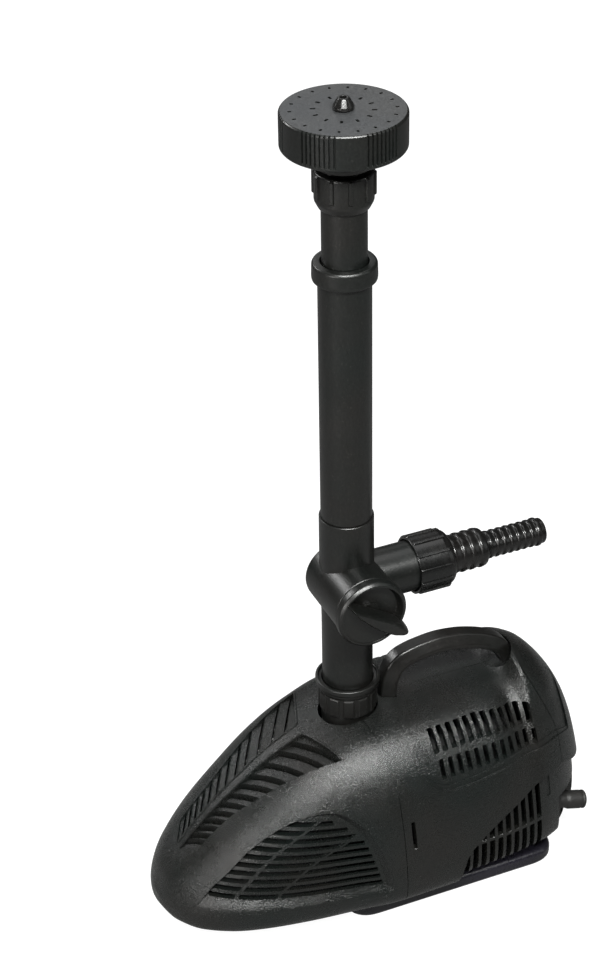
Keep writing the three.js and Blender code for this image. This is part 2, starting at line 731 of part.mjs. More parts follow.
// ---- spray head ----
const rimBore = headRadius - 2.65;
function sprayBase() {
  const neck = 4.5;
  const skirt = headBottom + 10.8;
  const outline = [[neck, ballHeight - 8.9]];
  for (let i = 1; i <= 9; i++) {
    const angle = THREE.MathUtils.degToRad(-60 + i * 13);
    outline.push([ballRadius * Math.cos(angle), ballHeight + ballRadius * Math.sin(angle)]);
  }
  outline.push(
    [6.4, headBottom - 8.7], [13.5, headBottom - 8.6], [16.2, headBottom - 2.6], [20, headBottom - 0.4],
    [rimBore - fit, headBottom], [rimBore - fit, skirt], [rimBore - 2.7, skirt],
    [rimBore - 2.7, headBottom + 2.4],
    [neck, headBottom + 2.4],
  );
  return solid(turned(outline));
}

const holeRings = [[18, 23], [12, 13.2]];
const holeRadius = 1.05;
const jetBore = 3.4;
function sprayCap() {
  const plateBottom = headTop - 2.4;
  const cap = solid(turned([
    [rimBore, headBottom + 0.2], [headRadius - 0.6, headBottom], [headRadius, headBottom + 0.8],
    [headRadius, headTop - 1], [headRadius - 0.8, headTop], [jetBore, headTop], [jetBore, plateBottom],
    [rimBore, plateBottom],
  ]));
  const holes = [];
  for (const [count, radius] of holeRings) {
    for (let i = 0; i < count; i++) {
      const hole = rod(holeRadius, headTop - 5, headTop + 5, holeFacets).translate(radius, 0, 0);
      holes.push(solid(hole.rotateZ(2 * Math.PI * (i + 0.5) / count)));
    }
  }
  return cut(cap, ...holes);
}

const centreJet = () => solid(turned([
  [1.4, headTop - 7], [jetBore - fit, headTop - 7], [jetBore - fit, headTop + 0.3], [4.7, headTop + 0.6],
  [4.7, headTop + 1.8], [2.8, jetTop - 0.4], [2.4, jetTop], [1.4, jetTop],
], smallFacets));

// ---- assembly ----
function add(group, name, manifold, material) {
  const mesh = new THREE.Mesh(geometryOf(manifold), material);
  mesh.name = name;
  group.add(mesh);
}

const pieces = {
  front_strainer: [frontStrainer, blackPlastic],
  rear_shell: [rearShell, blackPlastic],
  rear_cap: [rearCap, blackPlastic],
  lower_cover: [lowerCover, blackPlastic],
  carry_handle: [() => handle(0), blackPlastic],
  foot: [foot, glossPlastic],
  cable_gland: [cableGland, rubber],
  cable_grommet: [cableGrommet, rubber],
  pump_housing: [pumpHousing, blackPlastic],
  housing_seal: [housingSeal, rubber],
  impeller: [impeller, blackPlastic],
  rotor_magnet: [rotor, ferrite],
  rotor_shaft: [shaft, ceramic],
  front_bearing: [frontBearing, ceramic],
  rear_bearing: [rearBearing, ceramic],
  motor_can: [motorCan, blackPlastic],
  stator_core: [statorCore, steel],
  stator_coil: [statorCoil, copper],
  motor_resin: [motorResin, resin],
  motor_cradle: [motorCradle, blackPlastic],
  outlet_collar: [outletCollar, glossPlastic],
  outlet_seal: [outletSeal, rubber],
  valve_body: [valveBody, blackPlastic],
  valve_plug: [valvePlug, blackPlastic],
  stem_seal: [stemSeal, rubber],
  valve_knob: [valveKnob, glossPlastic],
  branch_nut: [branchNut, glossPlastic],
  hose_washer: [hoseWasher, rubber],
  hose_tail: [hoseTail, glossPlastic],
  outer_riser: [outerRiser, blackPlastic],
  lock_ring: [lockRing, glossPlastic],
  inner_riser: [innerRiser, blackPlastic],
  ball_seal: [ballSeal, rubber],
  ball_nut: [ballNut, glossPlastic],
  spray_base: [sprayBase, glossPlastic],
  spray_cap: [sprayCap, glossPlastic],
  centre_jet: [centreJet, glossPlastic],
};

const pump = new THREE.Group();
for (const [name, [make, material]] of Object.entries(pieces)) add(pump, name, make(), material);
screwSpots.forEach((spot, i) => add(pump, `foot_screw_${i + 1}`, footScrew(spot), steel));

export default pump;
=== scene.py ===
import math

import bmesh
import bpy
from mathutils import Matrix, Vector


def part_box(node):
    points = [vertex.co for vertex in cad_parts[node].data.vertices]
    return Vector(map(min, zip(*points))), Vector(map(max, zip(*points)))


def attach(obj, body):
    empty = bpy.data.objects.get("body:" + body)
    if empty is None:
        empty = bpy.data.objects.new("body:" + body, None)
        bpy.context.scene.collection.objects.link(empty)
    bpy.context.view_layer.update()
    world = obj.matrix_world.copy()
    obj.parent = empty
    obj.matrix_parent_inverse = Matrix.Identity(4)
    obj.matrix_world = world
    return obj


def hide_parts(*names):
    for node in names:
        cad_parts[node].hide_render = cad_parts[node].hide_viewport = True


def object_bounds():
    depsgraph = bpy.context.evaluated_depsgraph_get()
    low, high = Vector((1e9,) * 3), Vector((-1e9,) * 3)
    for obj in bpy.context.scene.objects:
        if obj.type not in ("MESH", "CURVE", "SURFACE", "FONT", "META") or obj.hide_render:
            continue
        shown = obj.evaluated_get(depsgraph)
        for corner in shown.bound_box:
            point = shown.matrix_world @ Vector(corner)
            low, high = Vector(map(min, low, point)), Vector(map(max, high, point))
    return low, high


# A fountain pump on its foot: louvred housing, riser with diverter valve, hose tail and spray head.
# Meshes are drawn in millimetres and brought to metres when a piece is finished.
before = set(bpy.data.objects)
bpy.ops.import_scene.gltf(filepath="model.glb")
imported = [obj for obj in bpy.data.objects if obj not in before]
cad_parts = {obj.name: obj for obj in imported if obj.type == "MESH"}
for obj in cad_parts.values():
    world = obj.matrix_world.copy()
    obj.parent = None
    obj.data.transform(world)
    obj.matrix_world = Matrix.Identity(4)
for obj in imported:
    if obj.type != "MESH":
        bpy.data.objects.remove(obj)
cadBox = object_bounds()
print("frame loaded:", len(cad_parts), "nodes")

scene = bpy.context.scene
millimetre = 0.001
roundSides = 96


def span(node):
    low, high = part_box(node)
    return low / millimetre, high / millimetre


def picked(form, names):
    return [form[name] for name in names.split()]


# A grid whose points are placed by a function of their shares across and along it.
def wrapGrid(columns, rows, place):
    bm = bmesh.new()
    bmesh.ops.create_grid(bm, x_segments=columns, y_segments=rows, size=1)
    for vert in bm.verts:
        vert.co = place((vert.co.x + 1) / 2, (vert.co.y + 1) / 2)
    return bm


def closeUp(bm):
    bmesh.ops.remove_doubles(bm, verts=bm.verts, dist=0.0005)
    bmesh.ops.dissolve_degenerate(bm, edges=bm.edges, dist=0.0002)
    openEdges = [edge for edge in bm.edges if edge.is_boundary]
    if openEdges:
        bmesh.ops.holes_fill(bm, edges=openEdges, sides=0)
    bmesh.ops.recalc_face_normals(bm, faces=bm.faces)
    return bm


# A solid through closed rings of points, one after the other.
def ringsToSolid(rings):
    around, along = len(rings[0]), len(rings) - 1
    return closeUp(wrapGrid(
        around, along, lambda u, w: Vector(rings[round(w * along)][round(u * around) % around])))


# An outline with its corners rounded, each by its own radius where one is given.
def soften(outline, radius, steps=3, closed=True):
    points = [Vector((p[0], p[1])) for p in outline]
    radii = [p[2] if len(p) > 2 else radius for p in outline]
    out = []
    for i, point in enumerate(points):
        if not closed and i in (0, len(points) - 1):
            out.append(tuple(point))
            continue
        before, after = points[i - 1] - point, points[(i + 1) % len(points)] - point
        reach = min(radii[i], 0.45 * before.length, 0.45 * after.length)
        if reach < 0.02:
            out.append(tuple(point))
            continue
        start, end = point + before.normalized() * reach, point + after.normalized() * reach
        for k in range(steps + 1):
            t = k / steps
            out.append(tuple(start * (1 - t) ** 2 + point * 2 * t * (1 - t) + end * t * t))
    return out


# A (radius, height) outline spun about Z. It is closed unless it starts and ends on the axis.
def turned(outline, radius=0.4, sides=roundSides):
    onAxis = outline[0][0] == 0 and outline[-1][0] == 0
    points = soften(outline, radius, closed=not onAxis)
    bm = bmesh.new()
    verts = [bm.verts.new((r, 0, z)) for r, z in points]
    edges = [bm.edges.new(pair) for pair in zip(verts, verts[1:])]
    if not onAxis:
        edges.append(bm.edges.new((verts[-1], verts[0])))
    bmesh.ops.spin(bm, geom=verts + edges, cent=(0, 0, 0), axis=(0, 0, 1), angle=2 * math.pi, steps=sides,
                   use_merge=True)
    return closeUp(bm)


def ring(inner, outer, low, high, radius=0.3):
    return turned([(inner, low), (outer, low), (outer, high), (inner, high)], radius)


def rod(radius, low, high, sides=roundSides):
    return turned([(0, low), (radius, low), (radius, high), (0, high)], 0, sides)


def extruded(points, move):
    bm = bmesh.new()
    face = bmesh.ops.contextual_create(bm, geom=[bm.verts.new(p) for p in points])["faces"]
    top = bmesh.ops.extrude_face_region(bm, geom=face, use_keep_orig=True)["geom"]
    bmesh.ops.translate(bm, vec=move, verts=[g for g in top if isinstance(g, bmesh.types.BMVert)])
    bmesh.ops.recalc_face_normals(bm, faces=bm.faces)
    return bm


# A side-view outline of (x, z) points given a width, and a plan outline given a height.
def slab(outline, low, high):
    return extruded([(x, low, z) for x, z in outline], (0, high - low, 0))


def prism(outline, low, high):
    return extruded([(x, y, low) for x, y in outline], (0, 0, high - low))


def moved(bm, matrix):
    bmesh.ops.transform(bm, matrix=matrix, verts=bm.verts)
    if matrix.determinant() < 0:
        bmesh.ops.reverse_faces(bm, faces=bm.faces)
    return bm


def turnZ(degrees):
    return Matrix.Rotation(math.radians(degrees), 4, "Z")


def shift(x=0, y=0, z=0):
    return Matrix.Translation((x, y, z))


alongX = Matrix.Rotation(math.pi / 2, 4, "Y")
alongY = Matrix.Rotation(-math.pi / 2, 4, "X")


def asObject(bm, name="shape"):
    mesh = bpy.data.meshes.new(name)
    bm.to_mesh(mesh)
    bm.free()
    obj = bpy.data.objects.new(name, mesh)
    scene.collection.objects.link(obj)
    return obj


# The shape of an object that is no longer needed, to cut or join with.
def taken(obj):
    bm = bmesh.new()
    bm.from_mesh(obj.data)
    bpy.data.objects.remove(obj)
    return bm


def together(parts):
    whole = bmesh.new()
    for bm in parts:
        mesh = bpy.data.meshes.new("part")
        bm.to_mesh(mesh)
        bm.free()
        whole.from_mesh(mesh)
        bpy.data.meshes.remove(mesh)
    return whole


def combine(obj, tools, operation):
    helpers = [asObject(tool, "tool") for tool in tools]
    for helper in helpers:
        modifier = obj.modifiers.new("combine", "BOOLEAN")
        modifier.operation, modifier.solver, modifier.object = operation, "MANIFOLD", helper
    done = bpy.data.meshes.new_from_object(obj.evaluated_get(bpy.context.evaluated_depsgraph_get()))
    old = obj.data
    obj.modifiers.clear()
    obj.data = done
    bpy.data.meshes.remove(old)
    for helper in helpers:
        mesh = helper.data
        bpy.data.objects.remove(helper)
        bpy.data.meshes.remove(mesh)
    return obj


def cut(obj, *tools):
    return combine(obj, tools, "DIFFERENCE")


def join(obj, *tools):
    return combine(obj, tools, "UNION")


def keep(obj, tool):
    return combine(obj, [tool], "INTERSECT")


# Brings a mesh to metres, shades it, and puts it in the place of its node.
def finishPiece(obj, name, body, slot, material, *replaced, angle=32):
    obj.name = obj.data.name = name
    obj.data.transform(Matrix.Scale(millimetre, 4))
    bm = bmesh.new()
    bm.from_mesh(obj.data)
    bmesh.ops.remove_doubles(bm, verts=bm.verts, dist=2e-6)
    bmesh.ops.dissolve_degenerate(bm, edges=bm.edges, dist=1e-6)
    bm.to_mesh(obj.data)
    bm.free()
    for polygon in obj.data.polygons:
        polygon.use_smooth = True
    obj.data.set_sharp_from_angle(angle=math.radians(angle))
    weighted = obj.modifiers.new("weightedNormals", "WEIGHTED_NORMAL")
    weighted.keep_sharp = True
    weighted.weight = 60
    obj.data.materials.clear()
    obj.data.materials.append(material)
    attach(obj, body)
    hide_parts(*replaced)
    print("made", name, len(obj.data.polygons), "faces")
    return obj


def newGroup(name, inputs, outputs):
    group = bpy.data.node_groups.new(name, "ShaderNodeTree")
    for label, kind, value in inputs:
        socket = group.interface.new_socket(name=label, in_out="INPUT", socket_type=kind)
        socket.default_value = value
    for label, kind in outputs:
        group.interface.new_socket(name=label, in_out="OUTPUT", socket_type=kind)
    return group, group.nodes.new("NodeGroupInput"), group.nodes.new("NodeGroupOutput")


def noise(tree, vector, scale, detail=2.0):
    node = tree.nodes.new("ShaderNodeTexNoise")
    node.inputs["Detail"].default_value = detail
    tree.links.new(vector, node.inputs["Vector"])
    if isinstance(scale, (int, float)):
        node.inputs["Scale"].default_value = scale
    else:
        tree.links.new(scale, node.inputs["Scale"])
    return node.outputs["Fac"]


def remap(tree, value, low, high, toLow, toHigh):
    node = tree.nodes.new("ShaderNodeMapRange")
    tree.links.new(value, node.inputs["Value"])
    for label, setting in (("From Min", low), ("From Max", high), ("To Min", toLow), ("To Max", toHigh)):
        if isinstance(setting, (int, float)):
            node.inputs[label].default_value = setting
        else:
            tree.links.new(setting, node.inputs[label])
    return node.outputs["Result"]


def calculate(tree, operation, first, second):
    node = tree.nodes.new("ShaderNodeMath")
    node.operation = operation
    for socket, value in zip(node.inputs, (first, second)):
        if isinstance(value, (int, float)):
            socket.default_value = value
        else:
            tree.links.new(value, socket)
    return node.outputs[0]


def blendColors(tree, share, first, second):
    node = tree.nodes.new("ShaderNodeMix")
    node.data_type = "RGBA"
    sockets = [s for s in node.inputs if s.type in ("RGBA", "VALUE") and s.enabled]
    for socket, value in zip(sockets, (share, first, second)):
        if isinstance(value, (int, float, tuple)):
            socket.default_value = value
        else:
            tree.links.new(value, socket)
    return next(s for s in node.outputs if s.enabled)


# Spark-eroded moulded grain: fine speckle, slow drift of tint, faint handling smears and dust.
grainForm = {
    "driftScale": 22.0, "smearScale": 60.0, "dustScale": 900.0, "dustColor": (0.09, 0.085, 0.078, 1),
    "speckle": (0.75, 1.3), "smearShare": 0.6, "bump": 0.00045,
}


def makeMouldedGrain():
    group, given, out = newGroup(
        "mouldedGrain",
        [("Color", "NodeSocketColor", (0.011, 0.011, 0.011, 1)),
         ("Drift", "NodeSocketColor", (0.02, 0.015, 0.012, 1)),
         ("Grain Size", "NodeSocketFloat", 1400.0), ("Grain Depth", "NodeSocketFloat", 0.3),
         ("Roughness Low", "NodeSocketFloat", 0.35), ("Roughness High", "NodeSocketFloat", 0.5),
         ("Dust", "NodeSocketFloat", 0.3)],
        [("Color", "NodeSocketColor"), ("Roughness", "NodeSocketFloat"), ("Normal", "NodeSocketVector")])
    place = group.nodes.new("ShaderNodeTexCoord").outputs["Object"]
    grain = noise(group, place, given.outputs["Grain Size"], 3.0)
    drift = noise(group, place, grainForm["driftScale"], 3.0)
    smears = noise(group, place, grainForm["smearScale"], 4.0)
    specks = noise(group, place, grainForm["dustScale"], 1.0)
    tint = remap(group, drift, 0.38, 0.66, 0.0, 1.0)
    color = blendColors(group, tint, given.outputs["Color"], given.outputs["Drift"])
    speckle = remap(group, grain, 0.35, 0.7, *grainForm["speckle"])
    shade = group.nodes.new("ShaderNodeVectorMath")
    shade.operation = "SCALE"
    group.links.new(color, shade.inputs[0])
    group.links.new(speckle, shade.inputs["Scale"])
    dustMask = calculate(group, "MULTIPLY", remap(group, specks, 0.7, 0.78, 0.0, 1.0), given.outputs["Dust"])
    group.links.new(
        blendColors(group, dustMask, shade.outputs["Vector"], grainForm["dustColor"]), out.inputs["Color"])
    share = grainForm["smearShare"]
    mixed = calculate(group, "ADD", calculate(group, "MULTIPLY", smears, share),
                      calculate(group, "MULTIPLY", grain, 1 - share))
    group.links.new(
        remap(group, mixed, 0.35, 0.65, given.outputs["Roughness Low"], given.outputs["Roughness High"]),
        out.inputs["Roughness"])
    bump = group.nodes.new("ShaderNodeBump")
    bump.inputs["Distance"].default_value = grainForm["bump"]
    group.links.new(given.outputs["Grain Depth"], bump.inputs["Strength"])
    group.links.new(grain, bump.inputs["Height"])
    group.links.new(bump.outputs["Normal"], out.inputs["Normal"])
    return group


mouldedGrain = makeMouldedGrain()

finishes = {
    "blackPlastic": {
        "color": (0.0034, 0.0048, 0.0044), "drift": (0.0054, 0.0052, 0.0046), "grain": 1500.0, "depth": 0.7,
        "rough": (0.22, 0.32), "dust": 0.03, "specular": 0.45},
    "pipePlastic": {
        "color": (0.003, 0.0039, 0.0035), "drift": (0.0048, 0.0043, 0.0038), "grain": 900.0, "depth": 0.1,
        "rough": (0.29, 0.4), "dust": 0.1, "specular": 0.45},
    "glossPlastic": {
        "color": (0.0028, 0.0031, 0.0031), "drift": (0.0048, 0.004, 0.0036), "grain": 700.0, "depth": 0.07,
        "rough": (0.22, 0.32), "dust": 0.1, "specular": 0.45},
    "platePlastic": {
        "color": (0.024, 0.0255, 0.0275), "drift": (0.029, 0.0295, 0.03), "grain": 1100.0, "depth": 0.25,
        "rough": (0.42, 0.55), "dust": 0.3, "specular": 0.5},
    "footPlastic": {
        "color": (0.005, 0.0048, 0.0072), "drift": (0.0085, 0.0078, 0.012), "grain": 900.0, "depth": 0.12,
        "rough": (0.24, 0.36), "dust": 0.25, "specular": 0.5},
    "blackRubber": {
        "color": (0.0075, 0.0075, 0.0078), "drift": (0.0115, 0.011, 0.0105), "grain": 1600.0, "depth": 0.3,
        "rough": (0.38, 0.55), "dust": 0.4, "specular": 0.4},
    "bearingCeramic": {
        "color": (0.78, 0.76, 0.71), "drift": (0.7, 0.67, 0.61), "grain": 2200.0, "depth": 0.1,
        "rough": (0.2, 0.3), "dust": 0.1, "specular": 0.5},
    "magnetFerrite": {
        "color": (0.045, 0.042, 0.04), "drift": (0.06, 0.052, 0.046), "grain": 1800.0, "depth": 0.4,
        "rough": (0.45, 0.6), "dust": 0.1, "specular": 0.5},
    "pottingResin": {
        "color": (0.014, 0.014, 0.018), "drift": (0.02, 0.02, 0.024), "grain": 500.0, "depth": 0.2,
        "rough": (0.3, 0.5), "dust": 0.1, "specular": 0.5},
    "screwSteel": {
        "color": (0.56, 0.56, 0.57), "drift": (0.48, 0.46, 0.44), "grain": 2600.0, "depth": 0.15,
        "rough": (0.25, 0.4), "dust": 0.05, "specular": 0.5, "metallic": 1.0},
    "coilCopper": {
        "color": (0.55, 0.22, 0.09), "drift": (0.42, 0.15, 0.06), "grain": 2600.0, "depth": 0.6,
        "rough": (0.28, 0.45), "dust": 0.05, "specular": 0.5, "metallic": 1.0},
}


def makeMaterial(name):
    finish = finishes[name]
    material = bpy.data.materials.new(name)
    material.use_nodes = True
    tree = material.node_tree
    shader = tree.nodes["Principled BSDF"]
    grain = tree.nodes.new("ShaderNodeGroup")
    grain.node_tree = mouldedGrain
    for label, value in (
        ("Color", (*finish["color"], 1)), ("Drift", (*finish["drift"], 1)), ("Grain Size", finish["grain"]),
        ("Grain Depth", finish["depth"]), ("Roughness Low", finish["rough"][0]),
        ("Roughness High", finish["rough"][1]), ("Dust", finish["dust"]),
    ):
        grain.inputs[label].default_value = value
    tree.links.new(grain.outputs["Color"], shader.inputs["Base Color"])
    tree.links.new(grain.outputs["Roughness"], shader.inputs["Roughness"])
    tree.links.new(grain.outputs["Normal"], shader.inputs["Normal"])
    shader.inputs["Specular IOR Level"].default_value = finish["specular"]
    shader.inputs["Metallic"].default_value = finish.get("metallic", 0.0)
    material.diffuse_color = (*finish["color"], 1)
    return material


materials = {name: makeMaterial(name) for name in finishes}
print("materials made")


# A smooth curve through (place, value) points that never overshoots them.
def curveThrough(points):
    slopes = [(b[1] - a[1]) / (b[0] - a[0]) for a, b in zip(points, points[1:])]
    tangents = [slopes[0]]
    for before, after in zip(slopes, slopes[1:]):
        tangents.append(2 * before * after / (before + after) if before * after > 0 else 0)
    tangents.append(slopes[-1])

    def value(x):
        i = 0
        while i < len(points) - 2 and x > points[i + 1][0]:
            i += 1
        (x0, v0), (x1, v1) = points[i], points[i + 1]
        h = x1 - x0
        t = min(max((x - x0) / h, 0), 1)
        return (v0 * (1 + 2 * t) * (1 - t) ** 2 + h * tangents[i] * t * (1 - t) ** 2
                + v1 * t * t * (3 - 2 * t) - h * tangents[i + 1] * t * t * (1 - t))
    return value


# The housing is one rounded form. Its cross-section is widest at the middle height; shoulder, keel and crown
# are the powers that round it above and below. It is split into shells by the seams.
housingForm = {
    "noseLength": 106.5, "tailLength": 123.5, "halfWidth": 60.0, "deckHeight": 98.0,
    "seamGap": 0.3, "coverStep": 2.6, "shoulder": 1.4, "keel": 4.0,
    "seamX": 5.0, "seamBow": 4.6, "seamHalf": 40, "seamSteps": 24,
    # places along the length are shares of the nose (below 0) and the tail; widths are squared shares of the
    # half width, tops are shares of the deck's height, middles and bottoms are heights
    "widths": [(-1, 0), (-0.95, 0.095), (-0.864, 0.25), (-0.685, 0.49), (-0.44, 0.694), (-0.19, 0.84),
               (0.04, 0.983), (0.24, 1), (0.49, 0.967), (0.69, 0.856), (0.81, 0.681), (0.89, 0.49),
               (0.955, 0.25), (0.988, 0.071), (1, 0)],
    "tops": [(-1, 0.143), (-0.95, 0.276), (-0.84, 0.423), (-0.695, 0.582), (-0.55, 0.709), (-0.407, 0.82),
             (-0.264, 0.901), (-0.164, 0.939), (0, 0.985), (0.162, 1), (0.6, 1), (0.648, 1.031),
             (0.696, 1.112), (0.777, 1.071), (0.85, 0.98), (0.923, 0.827), (0.964, 0.663), (0.988, 0.459),
             (1, 0.255)],
    "middles": [(-1, 12), (-0.75, 16), (-0.38, 22), (0, 25), (0.49, 27), (1, 24)],
    "bottoms": [(-1, 9), (-0.95, 4), (-0.85, 2), (-0.38, 2.5), (0.08, 5), (0.49, 7), (0.81, 8), (0.91, 9),
                (0.97, 12), (1, 20)],
    "crowns": [(-1, 2.7), (-0.75, 2.7), (-0.09, 3.8), (0.49, 3.8), (0.72, 2.3), (1, 2.3)],
    "around": 112, "along": 150, "upperShare": 0.62,
}


def station(share):
    return share * housingForm["noseLength" if share < 0 else "tailLength"]


def along(points, scale):
    return curveThrough([(station(share), value * scale) for share, value in points])


widthSquared = along(housingForm["widths"], housingForm["halfWidth"] ** 2)
topHeight = along(housingForm["tops"], housingForm["deckHeight"])
middleHeight = along(housingForm["middles"], 1)
bottomHeight = along(housingForm["bottoms"], 1)
crown = along(housingForm["crowns"], 1)
shoulder, keel = housingForm["shoulder"], housingForm["keel"]
tailEnd = (Vector(cadBox[1]) / millimetre).x


# Half width of the outer surface at a station and height, and its height at a station and side distance.
def sideAt(x, z):
    width, middle = math.sqrt(max(widthSquared(x), 1)), middleHeight(x)
    if z >= middle:
        share = min((z - middle) / max(topHeight(x) - middle, 1), 1)
        return width * (1 - share ** shoulder) ** (1 / crown(x))
    share = min((middle - z) / max(middle - bottomHeight(x), 1), 1)
    return width * (1 - share ** keel) ** (1 / keel)


def topAt(x, y):
    width, middle = math.sqrt(max(widthSquared(x), 1)), middleHeight(x)
    share = min(abs(y) / width, 1)
    return middle + (topHeight(x) - middle) * (1 - share ** crown(x)) ** (1 / shoulder)


# A point of the surface, or of one that lies inside it by an inset. Turn runs from the top all the way round.
def housingPoint(x, outerX, turn, inset):
    width = max(math.sqrt(max(widthSquared(outerX), 0)) - inset, 1)
    middle = middleHeight(outerX)
    rise = max(topHeight(outerX) - middle - inset, 1)
    drop = max(middle - bottomHeight(outerX) - inset, 1)
    side = 1 if turn < 0.5 else -1
    share = 2 * turn if turn < 0.5 else 2 * (1 - turn)
    upperShare = housingForm["upperShare"]
    if share <= upperShare:
        q = share / upperShare
        angle = math.pi / 2 * q ** (crown(outerX) / 2)
        y = width * math.sin(angle) ** (2 / crown(outerX))
        z = middle + rise * max(math.cos(angle), 0) ** (2 / shoulder)
    else:
        q = (share - upperShare) / (1 - upperShare)
        angle = math.pi / 2 * q * q / (q * q + (1 - q) ** 2)
        y = width * max(math.cos(angle), 0) ** (2 / keel)
        z = middle - drop * math.sin(angle) ** (2 / keel)
    return Vector((min(x, tailEnd), side * y, z))


def housing(inset):
    low, high = -housingForm["noseLength"], housingForm["tailLength"]

    def place(u, w):
        share = 0.5 - 0.5 * math.cos(math.pi * (0.02 + 0.96 * w))
        outerX = low + (high - low) * share
        return housingPoint(low + inset + (high - low - 2 * inset) * share, outerX, u, inset)
    return closeUp(wrapGrid(housingForm["around"], housingForm["along"], place))


far = 260  # beyond every piece, for cuts that run right through
seamGap = housingForm["seamGap"]


def sampled(points, count):
    curve = curveThrough(points)
    start, end = points[0][0], points[-1][0]
    places = [start + (end - start) * i / count for i in range(count + 1)]
    return [(place, curve(place)) for place in places]


def frontRegion(gap):
    seamX, bow = housingForm["seamX"], housingForm["seamBow"]
    half, steps = housingForm["seamHalf"], housingForm["seamSteps"]
    edge = [(seamX - bow * (1 - (y / half) ** 2) + gap, y)
            for y in [-half + 2 * half * i / steps for i in range(steps + 1)]]
    return prism([(-far, -far), (seamX + gap, -far), *edge, (seamX + gap, far), (-far, far)], -far, far)


# Side-view seams of the rear cap and of the lower cover, as shares of the tail and of the deck height.
capSeam = [(0.62, 1.43), (0.685, 1.112), (0.80, 0.765), (0.80, 0.4)]
coverSeam = [(0.235, -0.1), (0.27, 0.1), (0.315, 0.305), (0.372, 0.37), (0.46, 0.445), (0.56, 0.51),
             (0.665, 0.56), (0.78, 0.583), (0.9, 0.52), (1.1, 0.4)]


def rearRegion(gap):
    edge = [(station(s) + gap, rise * housingForm["deckHeight"])
            for s, rise in soften(capSeam, 0.05, closed=False)]
    return slab([*edge, (far, edge[-1][1]), (far, edge[0][1])], -far, far)


def coverRegion(gap):
    deck = housingForm["deckHeight"]
    edge = [(station(s) + gap, rise * deck - gap) for s, rise in sampled(coverSeam, 60)]
    return slab([*edge, (far, edge[-1][1]), (far, -0.1 * deck)], -far, far)


clearance = 5  # how far a slot's cutter stands out of the surface


# A closed outline turned into a cutter that flares where it breaks the side surface.
def sideCutter(outline, side, depth, flare, inset=0.0):
    centreX = sum(p[0] for p in outline) / len(outline)
    centreZ = sum(p[1] for p in outline) / len(outline)

    def ringAt(offset, grow):
        points = []
        for x, z in outline:
            reach = max(math.hypot(x - centreX, z - centreZ), 0.001)
            gx, gz = x + (x - centreX) / reach * grow, z + (z - centreZ) / reach * grow
            points.append((gx, side * (sideAt(x, z) + offset - inset), gz))
        return points
    return ringsToSolid([
        ringAt(-depth, 0), ringAt(-depth / 2, 0), ringAt(-flare, 0), ringAt(flare * 0.4, flare),
        ringAt(clearance, flare)])


# An upright or level slot's outline.
def bar(x0, x1, z0, z1, radius=0.6):
    return fourSided([(x0, z0), (x1, z0), (x1, z1), (x0, z1)], radius)


# A four-sided outline with soft corners, its long edges split so that they can follow the surface.
def fourSided(corners, radius=0.5):
    corners = soften(corners, radius)
    out = []
    for i, (x, z) in enumerate(corners):
        nx, nz = corners[(i + 1) % len(corners)]
        length = math.hypot(nx - x, nz - z)
        pieces = max(1, min(8, round(length / 3)))
        out += [(x + (nx - x) * k / pieces, z + (nz - z) * k / pieces) for k in range(pieces)]
    return out


fieldRise = 3.0  # how far a field's cutter stands out of the surface


# A patch of the side surface taken down by a depth that may change over it, with a sloping edge.
def fieldCutter(side, lower, upper, start, end, depth, columns, rows, lean):
    def place(u, w):
        x = start + (end - start) * u
        z = lower(x) + (upper(x) - lower(x)) * w
        return Vector((x, side * (sideAt(x, z) - depth(x, z)), z))
    bm = wrapGrid(columns, rows, place)
    made = bmesh.ops.extrude_face_region(bm, geom=bm.faces[:], use_keep_orig=True)["geom"]
    middleX = (start + end) / 2
    middleZ = (lower(middleX) + upper(middleX)) / 2
    for vert in [g for g in made if isinstance(g, bmesh.types.BMVert)]:
        x, z = vert.co.x, vert.co.z
        reach = max(math.hypot(x - middleX, z - middleZ), 0.001)
        grow = lean * fieldRise
        vert.co = Vector((
            x + (x - middleX) / reach * grow, vert.co.y + side * (depth(x, z) + fieldRise),
            z + (z - middleZ) / reach * grow))
    return closeUp(bm)


# A raised bead along surface points, each given with the surface's outward direction.
def bead(points, halfWidth, height):
    rings = []
    for i, (point, normal) in enumerate(points):
        ahead, behind = points[min(i + 1, len(points) - 1)][0], points[max(i - 1, 0)][0]
        across = normal.cross((ahead - behind).normalized()).normalized()
        section = ((1, 0), (0.7, height * 0.8), (0, height), (-0.7, height * 0.8), (-1, 0), (-0.7, -0.9),
                   (0.7, -0.9))
        rings.append([point + across * halfWidth * share + normal * rise for share, rise in section])
    return ringsToSolid(rings)


# A point of the side or top surface with the direction that it faces.
def onSide(side, x, z):
    slopeX = sideAt(x + 0.5, z) - sideAt(x - 0.5, z)
    slopeZ = sideAt(x, z + 0.5) - sideAt(x, z - 0.5)
    return Vector((x, side * sideAt(x, z), z)), Vector((-slopeX, side, -slopeZ)).normalized()


def onTop(side, x, y):
    slopeX = topAt(x + 0.5, y) - topAt(x - 0.5, y)
    slopeY = topAt(x, y + 0.5) - topAt(x, y - 0.5)
    return Vector((x, side * y, topAt(x, y))), Vector((-slopeX, -side * slopeY, 1)).normalized()


